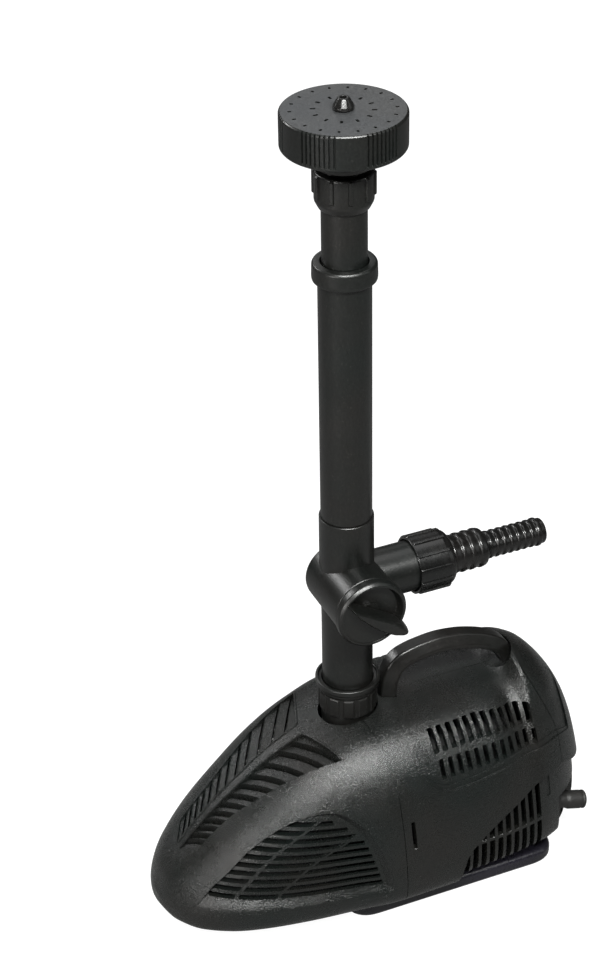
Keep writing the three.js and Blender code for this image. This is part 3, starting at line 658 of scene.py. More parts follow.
# The side grille: its slots, the lines they start and end on, and the crest of its sunken field.
grille = {
    "rows": 10, "low": 26.8, "pitch": 3.88, "height": 2.3, "rib": 0.85, "slotDepth": 7, "shortest": 3,
    "floor": 19.5, "recess": 3.0, "wall": 3.0, "lean": 1.9,
    "front": [(27, -88), (40, -77), (52, -62), (64, -44.5)],
    "rear": [(27, -5.7), (40, -9), (50, -12.6), (56, -18), (60, -22.5), (64, -32)],
    "ribOne": [(27, -76.6), (46, -57.5), (64, -31.7)],
    "ribTwo": [(27, -57.5), (43, -37.3), (52.5, -19.3), (64, -3)],
    "crest": [(-96.7, 20.5), (-91.9, 25.6), (-84.4, 34.8), (-76.8, 42.3), (-66.6, 51.8), (-56.6, 59.2),
              (-47, 64.7), (-37.4, 68.3), (-30.6, 69.1), (-26.2, 68.4), (-20, 64.1), (-15.1, 58.6),
              (-11.3, 51.5), (-8.2, 43.4), (-6.3, 35.7), (-4.7, 27.7)],
}


def ease(value):
    t = min(max(value, 0), 1)
    return t * t * (3 - 2 * t)


def grilleFields():
    edge, floor = curveThrough(grille["crest"]), grille["floor"]

    def crest(x):
        return max(edge(x) - grille["wall"], floor + 0.3)

    def depth(x, z):
        return grille["recess"] * ease((z - 20) / 7) + 0.02
    start, end = grille["crest"][0][0], grille["crest"][-1][0]
    return [fieldCutter(side, lambda x: floor, crest, start, end, depth, 96, 24, grille["lean"])
            for side in (-1, 1)]


def grilleSlots():
    front, rear = curveThrough(grille["front"]), curveThrough(grille["rear"])
    one, two = curveThrough(grille["ribOne"]), curveThrough(grille["ribTwo"])
    rib, half = grille["rib"], grille["height"] / 2
    slots = []
    for row in range(grille["rows"]):
        z = grille["low"] + row * grille["pitch"]
        rearEnd = rear(z) - 1
        spans = (
            (front, 0, one, -rib), (one, rib, two, -rib), (two, rib, lambda height: rearEnd, 0))
        for startLine, startGap, endLine, endGap in spans:
            if min(endLine(z) + endGap, rearEnd) - startLine(z) - startGap < grille["shortest"]:
                continue
            corners = []
            for line, gap, height in ((startLine, startGap, z - half), (endLine, endGap, z - half),
                                      (endLine, endGap, z + half), (startLine, startGap, z + half)):
                corners.append((min(line(height) + gap, rearEnd), height))
            for side in (-1, 1):
                slots.append(sideCutter(fourSided(corners), side, grille["slotDepth"], 0.28))
    return slots


# The louvres beside the ridge: two edge lines in plan, and where each slot starts on the inner one.
# The lip is its half width and its height.
louvres = {
    "frontStep": 3.4, "slotDepth": 12, "lip": (0.65, 0.55),
    "slant": 0.6, "slotWidth": 1.5, "recess": 1.5, "step": 1.0, "topSlant": 0.38, "topX": -26.6,
    "inner": [(-93, 1.9), (-27.3, 3.7)],
    "outer": [(-92.5, 11.2), (-82, 12.4), (-69.7, 14), (-58, 17.6), (-45, 21.6), (-29, 26.3), (-17.5, 29.5)],
    "starts": [-33, -40, -48, -55, -60.5, -66, -71, -75.5, -79.5, -83, -86.5, -89.5],
}


louvreInner, louvreOuter = curveThrough(louvres["inner"]), curveThrough(louvres["outer"])


# Plan point on a louvre line that starts at x on the inner edge and slants rearwards as it goes out.
def louvrePoint(startX, share, slant):
    inner = louvreInner(startX)
    outer, lastX = inner, louvres["outer"][-1][0]
    for attempt in range(16):  # closes in on where the slanting line meets the outer edge
        outer = louvreOuter(min(startX + (outer - inner) * slant, lastX))
    across = (outer - inner) * share
    return startX + across * slant, inner + across


# A band between two louvre lines, taken down by one depth at its front and another at its rear.
def louvreBand(frontX, rearX, side, frontDepth, rearDepth, shares, rearSlant=None):
    slant = louvres["slant"]
    rings = []
    for share in shares:
        fx, fy = louvrePoint(frontX, share, slant)
        rx, ry = louvrePoint(rearX, share, rearSlant or slant)
        mx, my = (fx + rx) / 2, (fy + ry) / 2
        rings.append([
            (fx, side * fy, topAt(fx, fy) - frontDepth),
            (mx, side * my, topAt(mx, my) - (frontDepth + rearDepth) / 2),
            (rx, side * ry, topAt(rx, ry) - rearDepth),
            (rx, side * ry, topAt(rx, ry) + 3), (fx, side * fy, topAt(fx, fy) + 3)])
    return ringsToSolid(rings)


# The raised lip that runs up the ridge side of each louvre field and across its top.
def louvreLips():
    lips = []
    for side in (-1, 1):
        ridge = [onTop(side, x, louvreInner(x) - 0.2) for x in [-92 + 64.6 * i / 40 for i in range(41)]]
        top = [onTop(side, *louvrePoint(louvres["topX"] + 0.5, 0.04 + 0.96 * i / 20, louvres["topSlant"]))
               for i in range(21)]
        lips.append(bead(ridge + top, *louvres["lip"]))
    return lips


def louvreCutters():
    starts, half = louvres["starts"], louvres["slotWidth"] / 2
    shallow, deep = louvres["recess"] - louvres["step"], louvres["recess"] + louvres["step"]
    shares = [i / 16 for i in range(17)]
    inset = [0.02 + 0.95 * share for share in shares]
    bands, slots = [], []
    for side in (-1, 1):
        bands.append(louvreBand(
            starts[0] + half, louvres["topX"], side, shallow, louvres["recess"], shares, louvres["topSlant"]))
        for rearX, frontX in zip(starts, starts[1:]):
            bands.append(louvreBand(frontX + half, rearX + half - 0.02, side, shallow, deep, shares))
        bands.append(louvreBand(
            starts[-1] - louvres["frontStep"], starts[-1] + half - 0.02, side,
            louvres["recess"] * 0.6, louvres["recess"], shares))
        for x in starts:
            slots.append(louvreBand(
                x - half, x + half - 0.04, side, louvres["slotDepth"], louvres["slotDepth"], inset))
    return bands, slots


# The vents beside the handle: two rows of slots in a panel that is sunk in two steps under a raised lip.
ventPanel = {
    "pitch": 4.88, "count": 12, "start": 29.4, "upperWidth": 3.0, "lowerWidth": 2.4, "depth": 1.25,
    "ledge": 0.6, "upperHeights": (85.4, 94.4), "upperDepth": 14, "lowerDepth": 9,
    "clipSlot": (9.2, 11.2, 43.6, 57.7), "clipDepth": 6, "bead": (0.55, 0.35), "foot": 84,
    "upperLift": [(29, -0.8), (44, -0.5), (54, -0.2), (62, -0.8), (70, -1.8), (77, -2.3), (83, -2.5)],
    "lowerBottom": [(29, 73.0), (52, 73.4), (70, 73.4), (84, 73.6)],
    "lowerTop": [(29, 82.0), (52, 82.2), (70, 81.6), (84, 80.3)],
    "beadLine": [(19.4, 90), (17.9, 87), (17.3, 84), (18.1, 78), (20.7, 74), (26.2, 69.5), (33, 67.8),
                 (45.5, 68), (60, 69.5), (79, 70.4), (88, 70.8), (97.3, 70.6)],
    "lip": [(17.6, 84), (18.4, 78), (21, 74.3), (26.5, 69.9), (33, 68.2), (45.5, 68.4), (60, 69.9),
            (79, 70.8), (96.7, 71.0), (108.5, 67.4)],
    "crescent": [(17.6, 84.5), (18.6, 79.4), (21.8, 75.9), (27.5, 71.8), (34, 70.3), (45.5, 70.6),
                 (60, 72.4), (79, 73.8), (96.7, 73.2), (108.5, 68.2)],
}


# The panel's step is deepest along its lower edge and runs out towards the deck.
def ventField(side, outline, deepest):
    lower = curveThrough(outline)

    def upper(x):
        return max(min(95.2, topHeight(x) - 2.5), lower(x) + 0.5)

    def depth(x, z):
        return deepest * (1 - 0.8 * ease((z - ventPanel["foot"]) / 10))
    return fieldCutter(side, lower, upper, outline[0][0], outline[-1][0], depth, 110, 20, 0.12)


def ventFields():
    steps = (("lip", "ledge"), ("crescent", "depth"))
    return [ventField(side, ventPanel[line], ventPanel[depth]) for side in (-1, 1) for line, depth in steps]


def ventLips():
    line = soften(ventPanel["beadLine"], 2.5, 5, closed=False)
    return [bead([onSide(side, x, z) for x, z in line], *ventPanel["bead"]) for side in (-1, 1)]


def ventSlots():
    slots = []
    upperLift, lowerBottom, lowerTop = (
        curveThrough(points) for points in picked(ventPanel, "upperLift lowerBottom lowerTop"))
    for i in range(ventPanel["count"]):
        x = ventPanel["start"] + i * ventPanel["pitch"]
        lift, half = upperLift(x), ventPanel["upperWidth"] / 2
        low, high = ventPanel["upperHeights"]
        for side in (-1, 1):
            slots.append(sideCutter(
                bar(x - half, x + half, low + lift, high + lift), side, ventPanel["upperDepth"], 0.3))
            slots.append(sideCutter(
                bar(x - 0.2, x - 0.2 + ventPanel["lowerWidth"], lowerBottom(x), lowerTop(x)), side,
                ventPanel["lowerDepth"], 0.3))
    for side in (-1, 1):
        slots.append(sideCutter(bar(*ventPanel["clipSlot"], 0.3), side, ventPanel["clipDepth"], 0.25))
    return slots


# The lower cover's upright slots: they end just above the seam and are parted by one level bar.
coverForm = {
    "count": 11, "pitch": 4.75, "rear": 83.3, "width": 2.9, "low": 10.5, "bar": (32.2, 33.9), "past": 2.2,
    "seam": [(29, 12), (39, 30), (46, 36.2), (57, 43.7), (69, 50), (82, 55), (97, 57)],
    "clipSlot": (87.6, 90.2, 43, 55.5), "clipDepth": 1.1,
}


def coverSlots():
    form, step = coverForm, housingForm["coverStep"]
    seam = curveThrough(form["seam"])
    lowTop, highBottom = form["bar"]
    slots = []
    for side in (-1, 1):
        for i in range(form["count"]):
            x = form["rear"] - i * form["pitch"]
            high = seam(x - 1.1) + form["past"]
            slots.append(sideCutter(
                bar(x - form["width"], x, form["low"], min(lowTop, high), 0.5), side, 9, 0.3, step))
            if high > highBottom + 3:
                slots.append(sideCutter(bar(x - form["width"], x, highBottom, high, 0.5), side, 9, 0.3, step))
        slots.append(sideCutter(bar(*form["clipSlot"], 0.3), side, form["clipDepth"], 0.2, step))
    return slots


# The carry handle: a bent bar that is wider where it meets the deck.
handleForm = {
    "path": [(0.166, -4), (0.172, 6), (0.194, 14), (0.235, 18.6), (0.31, 20.9), (0.39, 21.8), (0.47, 20.8),
             (0.55, 18.2), (0.62, 14.4), (0.675, 9), (0.705, 0)],
    "topHalf": 3.5, "footHalf": 6.5, "under": 2.95, "over": 4.35, "rings": 64,
}


def handleSolid(grow=0.0):
    points = [Vector((station(s), housingForm["deckHeight"] + rise)) for s, rise in handleForm["path"]]
    reach = [0.0]  # distance along the path to each of its points
    for a, b in zip(points, points[1:]):
        reach.append(reach[-1] + (b - a).length)
    xs = curveThrough([(r, p.x) for r, p in zip(reach, points)])
    zs = curveThrough([(r, p.y) for r, p in zip(reach, points)])
    top, foot, under, over = (size + grow for size in picked(handleForm, "topHalf footHalf under over"))
    outline = soften([(-foot, -under, 0.5), (foot, -under, 0.5), (foot, 2.0 - under, 0.8), (top, over, 1.0),
                      (-top, over, 1.0), (-foot, 2.0 - under, 0.8)], 0.8, 4)
    rings = []
    for i in range(handleForm["rings"] + 1):
        s = reach[-1] * i / handleForm["rings"]
        ahead, behind = min(s + 0.5, reach[-1]), max(s - 0.5, 0)
        tangent = Vector((xs(ahead) - xs(behind), zs(ahead) - zs(behind))).normalized()
        rings.append([(xs(s) - tangent.y * n, y, zs(s) + tangent.x * n) for y, n in outline])
    return ringsToSolid(rings)


pocketForm = {
    "centre": (76.5, 0, 106.4), "radii": (12.6, 14.5, 8.4), "wall": 3.0, "line": (37, 79), "lineWidth": 0.4,
    "lineDepth": 0.35,
}


# The hollow that the fingers reach into, where the handle's rear end meets the hump.
def pocket(grow=0.0):
    bm = bmesh.new()
    bmesh.ops.create_uvsphere(bm, u_segments=64, v_segments=32, radius=1)
    size = Matrix.Diagonal((*(radius + grow for radius in pocketForm["radii"]), 1))
    return moved(bm, shift(*pocketForm["centre"]) @ size)


# The fine mould line along the middle of the deck.
def deckLine():
    start, end = pocketForm["line"]
    half, deck = pocketForm["lineWidth"] / 2, housingForm["deckHeight"]
    return prism(
        [(start, -half), (end, -half), (end, half), (start, half)], deck - pocketForm["lineDepth"], deck + 1)


def hollowHousing(wall):
    return cut(asObject(housing(0)), housing(wall))


# The rear housing has a wall of its own behind the pocket.
def pocketedHousing(wall):
    backing = keep(asObject(housing(0.02)), pocket(pocketForm["wall"]))
    return cut(join(hollowHousing(wall), taken(backing)), pocket())


# The notch in the cover's rear lets the cable gland out. Edges sharper than "sharp" degrees stay crisp.
shellForm = {
    "frontWall": 4.2, "rearWall": 3.6, "coverWall": 2.4, "outletHole": 15.0, "handleGap": 0.35,
    "notch": [(96, 13), (far, 13), (far, 38), (96, 38)], "notchSide": -24, "sharp": 20,
}


def outletHole():
    return rod(shellForm["outletHole"], 60, far, 64)


def makeHousing():
    f, black, halfGap = shellForm, materials["blackPlastic"], seamGap / 2
    bands, louvreSlots = louvreCutters()

    front = keep(hollowHousing(f["frontWall"]), frontRegion(-halfGap))
    cut(front, outletHole(), *grilleFields())
    cut(front, together(bands[0::2]), together(bands[1::2]))
    cut(front, together(louvreSlots), together(grilleSlots()))
    join(front, together(louvreLips()))
    finishPiece(front, "noseStrainer", "strainer", "black_plastic", black, "front_strainer", angle=f["sharp"])

    rear = cut(pocketedHousing(f["rearWall"]), frontRegion(halfGap), rearRegion(-halfGap),
               coverRegion(-halfGap))
    cut(rear, outletHole(), handleSolid(f["handleGap"]), *ventFields())
    cut(rear, together(ventSlots()), deckLine())
    join(rear, together(ventLips()))
    finishPiece(rear, "rearShell", "housing", "black_plastic", black, "rear_shell", angle=f["sharp"])

    cap = keep(pocketedHousing(f["rearWall"]), rearRegion(halfGap))
    cut(cap, coverRegion(-halfGap), handleSolid(f["handleGap"]), *ventFields())
    finishPiece(cap, "rearCap", "housing", "black_plastic", black, "rear_cap", angle=f["sharp"])

    step = housingForm["coverStep"]
    cover = asObject(housing(step))
    cut(cover, housing(step + f["coverWall"]))
    keep(cover, coverRegion(halfGap))
    cut(cover, slab(f["notch"], -far, f["notchSide"]), together(coverSlots()))
    finishPiece(cover, "lowerCover", "housing", "black_plastic", black, "lower_cover", angle=f["sharp"])

    finishPiece(asObject(handleSolid()), "carryHandle", "housing", "black_plastic", materials["pipePlastic"],
                "carry_handle", angle=40)


# The foot's screw holes are (radius, top): a wide one for the head under a narrow one for the shank.
footForm = {
    "corner": 14.0, "round": 2.6, "steps": 6, "screws": [(40, -16), (40, 16), (72, -16), (72, 16)],
    "headHole": (3.9, 3.6), "shankHole": (2.1, 30),
}


def makeFoot():
    low, high = span("foot")
    rings = []
    corner, rounding, steps = footForm["corner"], footForm["round"], footForm["steps"]

    def ringAt(inset, z):
        left, right, front, back = low.x + inset, high.x - inset, low.y + inset, high.y - inset
        outline = soften([(left, front), (right, front), (right, back), (left, back)], corner - inset / 2, 10)
        return [(x, y, z) for x, y in outline]
    for i in range(steps + 1):
        angle = math.pi / 2 * i / steps
        rings.append(ringAt(rounding * (1 - math.sin(angle)), low.z + rounding * (1 - math.cos(angle))))
    for i in range(steps + 1):
        angle = math.pi / 2 * i / steps
        rings.append(ringAt(rounding * (1 - math.cos(angle)), high.z - rounding * (1 - math.sin(angle))))
    foot = asObject(ringsToSolid(rings))
    cut(foot, housing(-seamGap))
    (headRadius, headTop), (shankRadius, shankTop) = footForm["headHole"], footForm["shankHole"]
    screws = footForm["screws"]
    cut(foot, together([moved(rod(headRadius, -5, headTop, 32), shift(x, y)) for x, y in screws]),
        together([moved(rod(shankRadius, 3, shankTop, 24), shift(x, y)) for x, y in screws]))
    finishPiece(foot, "standFoot", "housing", "gloss_plastic", materials["footPlastic"], "foot", angle=40)


makeHousing()
makeFoot()


# The cable gland leans down and aside; its outline is (radius, length) from its root.
glandForm = {
    "pitch": 0.2, "yaw": -0.12, "place": (98, -33, 24.5),
    "outline": [(0, 0), (4.2, 0), (4.2, 9), (4.8, 10.5), (4.8, 17.4), (4.3, 17.9), (4.8, 18.4), (4.8, 19.4),
                (3.9, 20), (2.9, 20), (2.7, 18.6), (0, 18.6)],
}


def makeGland():
    lean = (shift(*glandForm["place"]) @ Matrix.Rotation(glandForm["yaw"], 4, "Z")
            @ Matrix.Rotation(math.pi / 2 + glandForm["pitch"], 4, "Y"))
    gland = asObject(moved(turned(glandForm["outline"], 0.3), lean))
    finishPiece(gland, "cableGland", "housing", "black_rubber", materials["blackRubber"], "cable_gland")


# Copies of one shape, evenly set round the Z axis.
def aroundAxis(make, count, start=0.0):
    return [moved(make(), turnZ(start + 360 * i / count)) for i in range(count)]


# An upright raised rib: rounded in plan, standing out from an inner to an outer radius.
def rib(inner, outer, halfWidth, low, high, endInset=0.6):
    rings, root, start, tipHalf = [], inner - 0.6, inner + 0.1, halfWidth * 0.8
    for z, reach in ((low, start), (low + endInset, outer), (high - endInset, outer), (high, start)):
        plan = soften(
            [(root, -halfWidth), (reach, -tipHalf, 0.35), (reach, tipHalf, 0.35), (root, halfWidth)], 0.05, 3)
        rings.append([(x, y, z) for x, y in plan])
    return ringsToSolid(rings)


collarForm = {
    "ribs": 12, "body": 14.1, "ribTop": 14.6, "flange": 15.9, "bore": 12.8, "seat": 12.35,
    "seatHeight": 102.3, "skirt": 13.2, "neck": 14.9,
}


def makeCollar():
    low, high = span("outlet_collar")
    body, flange, bore, seat, seatHeight, skirt, neck = picked(
        collarForm, "body flange bore seat seatHeight skirt neck")
    collar = asObject(turned([
        (seat, low.z), (skirt, low.z), (skirt, low.z + 7.6), (body, low.z + 7.6, 0.5), (body, high.z - 6.2),
        (neck, high.z - 4.9), (neck, high.z - 3.6), (flange, high.z - 2.7), (flange, high.z - 0.2, 0.7),
        (14.5, high.z, 0.5), (14.3, high.z - 1.0), (bore, high.z - 1.0), (bore, seatHeight),
        (seat, seatHeight)], 0.35))
    join(collar, together(aroundAxis(
        lambda: rib(body, collarForm["ribTop"], 2.9, low.z + 8.2, high.z - 6.6), collarForm["ribs"], 8)))
    finishPiece(collar, "outletCollar", "collar", "gloss_plastic", materials["pipePlastic"], "outlet_collar")


valveForm = {
    "height": 170.0, "leg": 12.4, "legLow": 103.4, "legBore": 9.6, "socket": 13.1, "socketTop": 209.3,
    "socketBore": 11.7, "drum": 16.8, "drumFront": -24.0, "drumBack": 12.0, "branch": 12.4, "branchEnd": 39.5,
    "branchBore": 9.4, "plug": 12.6,
}


def makeValve():
    f = valveForm
    lift = shift(z=f["height"])
    leg, socket, top, branch, branchEnd = picked(f, "leg socket socketTop branch branchEnd")
    valve = asObject(turned([(0, f["legLow"]), (leg, f["legLow"]), (leg, 158), (0, 158)], 0.3))
    join(valve, turned([
        (0, 150), (leg, 150), (leg + 0.15, 164), (socket, 182), (socket, top), (0, top)], 0.5))
    join(valve, moved(turned([
        (0, f["drumFront"]), (f["drum"], f["drumFront"]), (f["drum"], f["drumBack"], 1.6),
        (0, f["drumBack"])], 0.5), lift @ alongY))
    join(valve, moved(
        turned([(0, 2), (branch, 2), (branch, branchEnd), (0, branchEnd)], 0.3), lift @ alongX))
    cut(valve, rod(f["legBore"], 100, 172), rod(f["legBore"], 168, 200), rod(f["socketBore"], 194.5, 220),
        moved(rod(f["branchBore"], 0, 50), lift @ alongX),
        moved(rod(f["plug"], f["drumFront"] - 1, 8), lift @ alongY))
    finishPiece(valve, "valveBody", "valve", "black_plastic", materials["pipePlastic"], "valve_body")


# The knob's face looks along -Y. Its lever is a leaf, given from the side, that stands out of the face.
knobForm = {
    "radius": 17.6, "front": -30.4, "back": -24.4, "turn": 35.0, "bowl": 15.4, "bowlDepth": 4.9,
    "leaf": [(-16.6, 0.6), (-10, 1.4), (-3, 1.9), (4, 2.3), (11, 2.6), (17, 2.0), (20.6, 0.7), (21.6, -0.9),
             (20, -2.6), (15, -4.5), (8, -5.2), (0, -4.6), (-8, -2.9), (-14, -1.0)],
    "leafCentre": (2, -1.2),
    # how far each ring of the leaf stands out of the face, and its share of the leaf's height
    "leafRings": [(-3.2, 1.04), (0.5, 1.0), (3.6, 0.9), (5.0, 0.76), (5.7, 0.55)],
}


def makeKnob():
    radius, front, back, bowl, bowlDepth = picked(knobForm, "radius front back bowl bowlDepth")
    knob = asObject(moved(turned([
        (0, back), (radius - 0.8, back), (radius, back - 0.8), (radius, front + 1.4),
        (radius - 1.4, front, 0.9), (radius - 2.2, front + 0.1, 0.4), (bowl + 0.1, front + 0.5),
        (0, front + 0.5)], 0.5), alongY))
    # the upper half is a shallow bowl that runs down to the lever
    hollow = asObject(moved(turned([
        (0, front - 4), (bowl + 0.6, front - 4), (bowl, front + 0.4), (bowl - 1.2, front + bowlDepth, 0.8),
        (0, front + bowlDepth + 0.5)], 0.3), alongY))
    keep(hollow, slab([(-30, 0.8), (30, 0.8), (30, 30), (-30, 30)], -60, 20))
    cut(knob, taken(hollow))
    outline = soften(knobForm["leaf"], 0.8, 3)
    cx, cz = knobForm["leafCentre"]
    join(knob, ringsToSolid([
        [(cx + (x - cx) * (1 - (1 - share) * 0.45), front - reach, cz + (z - cz) * share) for x, z in outline]
        for reach, share in knobForm["leafRings"]]))
    knob.data.transform(
        shift(z=valveForm["height"]) @ Matrix.Rotation(math.radians(knobForm["turn"]), 4, "Y"))
    finishPiece(knob, "valveKnob", "knob", "gloss_plastic", materials["pipePlastic"], "valve_knob", angle=28)


nutForm = {
    "radius": 14.25, "ribTop": 15.0, "halfRib": 1.0, "start": 33.0, "end": 53.0, "ribs": 12, "bore": 13.05,
    "mouth": 10.4, "seat": 44.4,
}


def makeBranchNut():
    f = nutForm
    radius, start, end, bore, mouth, seat = picked(f, "radius start end bore mouth seat")
    nut = asObject(turned([
        (bore, start), (radius, start), (radius, end - 4.2), (13.6, end - 1.6, 1.6), (12.4, end, 1.2),
        (mouth, end), (mouth, seat), (bore, seat)], 0.35))
    join(nut, together(aroundAxis(
        lambda: rib(radius, f["ribTop"], f["halfRib"], start + 0.2, end - 2.4, 0.9), f["ribs"], 12)))
    nut.data.transform(shift(z=valveForm["height"]) @ alongX)
    finishPiece(nut, "branchNut", "branch_nut", "gloss_plastic", materials["glossPlastic"], "branch_nut")


# The hose tail's two steps, the larger one nearer the nut, each with its own barbs.
hoseForm = {
    "bore": 4.6, "large": 9.9, "small": 7.0, "step": 73.2, "tip": 105.5, "collar": 53.0, "barbDepth": 0.55,
    "largeBarbs": 4, "smallBarbs": 7, "flange": 12.6, "flangeBack": 41.6, "flangeFront": 44.1, "neck": 9.2,
}


def barbs(start, end, count, crest, root):
    pitch = (end - start) / count
    outline = []
    for i in range(count):
        x = start + i * pitch
        outline += [(root, x + 0.08 * pitch, 0.3), (crest, x + 0.2 * pitch, 0.5),
                    (crest, x + 0.42 * pitch, 0.6), (root, x + 0.9 * pitch, 0.8)]
    return outline


def makeHoseTail():
    f = hoseForm
    bore, large, small, step, tip, depth = picked(f, "bore large small step tip barbDepth")
    outline = [
        (bore, f["flangeBack"]), (f["flange"], f["flangeBack"]), (f["flange"], f["flangeFront"]),
        (f["neck"], f["flangeFront"]), (f["neck"], f["collar"]),
        *barbs(f["collar"], step - 1, f["largeBarbs"], large, large - depth), (small + 0.4, step, 0.6),
        *barbs(step + 0.6, tip - 5.2, f["smallBarbs"], small, small - depth),
        (small + 0.2, tip - 4.8, 0.8), (small + 0.2, tip - 3.2, 0.8), (small - 0.6, tip - 2.6),
        (small - 0.6, tip - 0.7), (small - 1.3, tip), (bore, tip)]
    tail = asObject(moved(turned(outline, 0.3), shift(z=valveForm["height"]) @ alongX))
    finishPiece(tail, "hoseTail", "valve", "gloss_plastic", materials["glossPlastic"], "hose_tail", angle=40)


# The outer riser's spigot stands in the valve's socket; above it the bore widens for the inner riser.
riserForm = {
    "bore": 10.8, "radius": 12.25, "spigot": 11.4, "spigotBore": 9.5, "widens": (212, 214),
    "innerRadius": 10.33, "innerBore": 8.6,
    "lockBore": 12.55, "lockRadius": 14.9, "lipBore": 10.9, "lip": 5.3,
}


def makeRisers():
    f, gap = riserForm, 0.3
    bore, radius, spigot, spigotBore = picked(f, "bore radius spigot spigotBore")
    low, high = span("outer_riser")
    joint = valveForm["socketTop"] + gap
    outer = asObject(turned([
        (spigotBore, low.z), (spigot, low.z), (spigot, joint), (radius, joint), (radius, high.z),
        (bore, high.z), (bore, f["widens"][1]), (spigotBore, f["widens"][0])], 0.3))
    finishPiece(outer, "outerRiser", "valve", "black_plastic", materials["pipePlastic"], "outer_riser")
    low, high = span("inner_riser")
    inner = asObject(ring(f["innerBore"], f["innerRadius"], low.z, high.z))
    finishPiece(inner, "innerRiser", "inner_riser", "black_plastic", materials["pipePlastic"], "inner_riser")
    low, high = span("lock_ring")
    lockBore, lockRadius, lipBore, lip = picked(f, "lockBore lockRadius lipBore lip")
    lock = asObject(turned([
        (lockBore, low.z), (lockRadius - 0.2, low.z, 0.5), (lockRadius, low.z + 1.6, 0.5),
        (lockRadius - 0.15, high.z - 1.2), (lockRadius - 0.8, high.z, 1.0), (lipBore, high.z, 0.5),
        (lipBore, high.z - lip), (lockBore, high.z - lip)], 0.3))
    finishPiece(lock, "lockRing", "lock_ring", "gloss_plastic", materials["pipePlastic"], "lock_ring")


# The ball nut: a seat for the ball at its mouth, above the bore that takes the inner riser's end.
ballNutForm = {
    "ribs": 10, "body": 13.3, "ribTop": 14.2, "halfRib": 1.1, "bore": 10.68, "mouth": 9.4, "seat": 11.4,
}


def makeBallNut():
    low, high = span("ball_nut")
    f = ballNutForm
    body, bore, mouth, seat = picked(f, "body bore mouth seat")
    nut = asObject(turned([
        (bore, low.z), (11.6, low.z, 0.5), (body, low.z + 3.4, 0.8), (body, high.z - 0.9),
        (body - 0.4, high.z, 0.5), (mouth, high.z), (mouth + 0.2, high.z - 2.1), (seat, high.z - 4),
        (seat, low.z + 3.5), (bore, low.z + 2.6)], 0.3))
    join(nut, together(aroundAxis(
        lambda: rib(body, f["ribTop"], f["halfRib"], low.z + 5.6, high.z - 0.4, 0.7), f["ribs"], 6)))
    finishPiece(nut, "ballNut", "ball_nut", "gloss_plastic", materials["pipePlastic"], "ball_nut")


# The spray head: base with its ball, ribbed cap with two rings of holes, and the jet in the middle.
headForm = {
    "ball": 10.0, "ballHeight": 381.0, "ballBore": 4.5, "cup": 22.6, "cupFloor": 400.6, "cupWall": 25,
    "cupTop": 409, "radius": 27.95, "capBore": 25.3, "plate": 2.4, "jetHole": 3.4,
    "grooveGroups": 6, "grooves": 8, "groupStart": -93.0, "groovePitch": 4.4, "grooveDepth": 0.9,
    # each ring of holes: how many, how far out, turned by, half length
    "holes": [(18, 23.0, 0.85, 0.9), (12, 13.2, 2.0, 1.25)], "holeHalf": 0.62,
}


def makeSprayBase():
    f = headForm
    ball, ballHeight, ballBore, cup, cupFloor, cupWall, cupTop = picked(
        f, "ball ballHeight ballBore cup cupFloor cupWall cupTop")
    capLow = span("spray_cap")[0].z
    outline = [(ballBore, ballHeight - 8.9, 0.2)]
    for i in range(1, 13):
        angle = math.radians(-60 + i * 9.6)
        outline.append((ball * math.cos(angle), ballHeight + ball * math.sin(angle), 0.05))
    outline += [
        (6.4, 389.5), (12.9, 389.6, 0.6), (13.7, 392.2, 1.5), (16.2, 395.6, 2.0), (20.6, capLow - 0.3, 1.5),
        (cupWall, capLow + 0.2), (cupWall, cupTop), (cup, cupTop), (cup, cupFloor), (ballBore, cupFloor)]
    base = asObject(turned(outline, 0.3))
    finishPiece(base, "sprayBase", "spray_base", "gloss_plastic", materials["pipePlastic"], "spray_base",
                angle=40)


def capGrooves(low, high):
    radius, deep = picked(headForm, "radius grooveDepth")
    tools = []
    for group in range(headForm["grooveGroups"]):
        for i in range(headForm["grooves"]):
            angle = headForm["groupStart"] + 60 * group + i * headForm["groovePitch"]
            tool = ringsToSolid([
                [(radius - depth, -0.25, z), (radius + 1, -0.85, z), (radius + 1, 0.85, z),
                 (radius - depth, 0.25, z)]
                for z, depth in ((low + 1.5, 0.02), (low + 2.1, deep), (high + 1, deep))])
            tools.append(moved(tool, turnZ(angle)))
    return together(tools)


def capHoles(high):
    tools = []
    for count, distance, phase, reach in headForm["holes"]:
        half = max(headForm["holeHalf"], reach * 0.52)
        corners = [(-reach, -half), (reach, -half), (reach, half), (-reach, half)]
        for i in range(count):
            hole = prism(soften(corners, half, 5), high - 5, high + 3)
            tools.append(moved(hole, turnZ(phase + 360 * i / count) @ shift(distance)))
    return together(tools)


def makeSprayCap():
    low, high = (corner.z for corner in span("spray_cap"))
    radius, bore, plate, jetHole = picked(headForm, "radius capBore plate jetHole")
    cap = asObject(turned([
        (bore, low + 0.2), (radius - 0.7, low, 0.4), (radius, low + 0.9, 0.4), (radius, high - 0.9, 0.4),
        (radius - 0.7, high, 0.4), (jetHole, high), (jetHole, high - plate), (bore, high - plate)], 0.3, 144))
    cut(cap, capGrooves(low, high), capHoles(high))
    finishPiece(cap, "sprayCap", "spray_cap", "gloss_plastic", materials["pipePlastic"], "spray_cap",
                angle=30)
    cap.data.materials.append(materials["platePlastic"])
    for polygon in cap.data.polygons:
        if polygon.normal.z > 0.95 and polygon.center.z > (high - 0.3) * millimetre:
            polygon.material_index = 1


jetForm = {"bore": 1.4, "stem": 3.1, "root": 4.7, "tip": 2.5, "flutes": 8, "cone": (4.0, -0.3)}


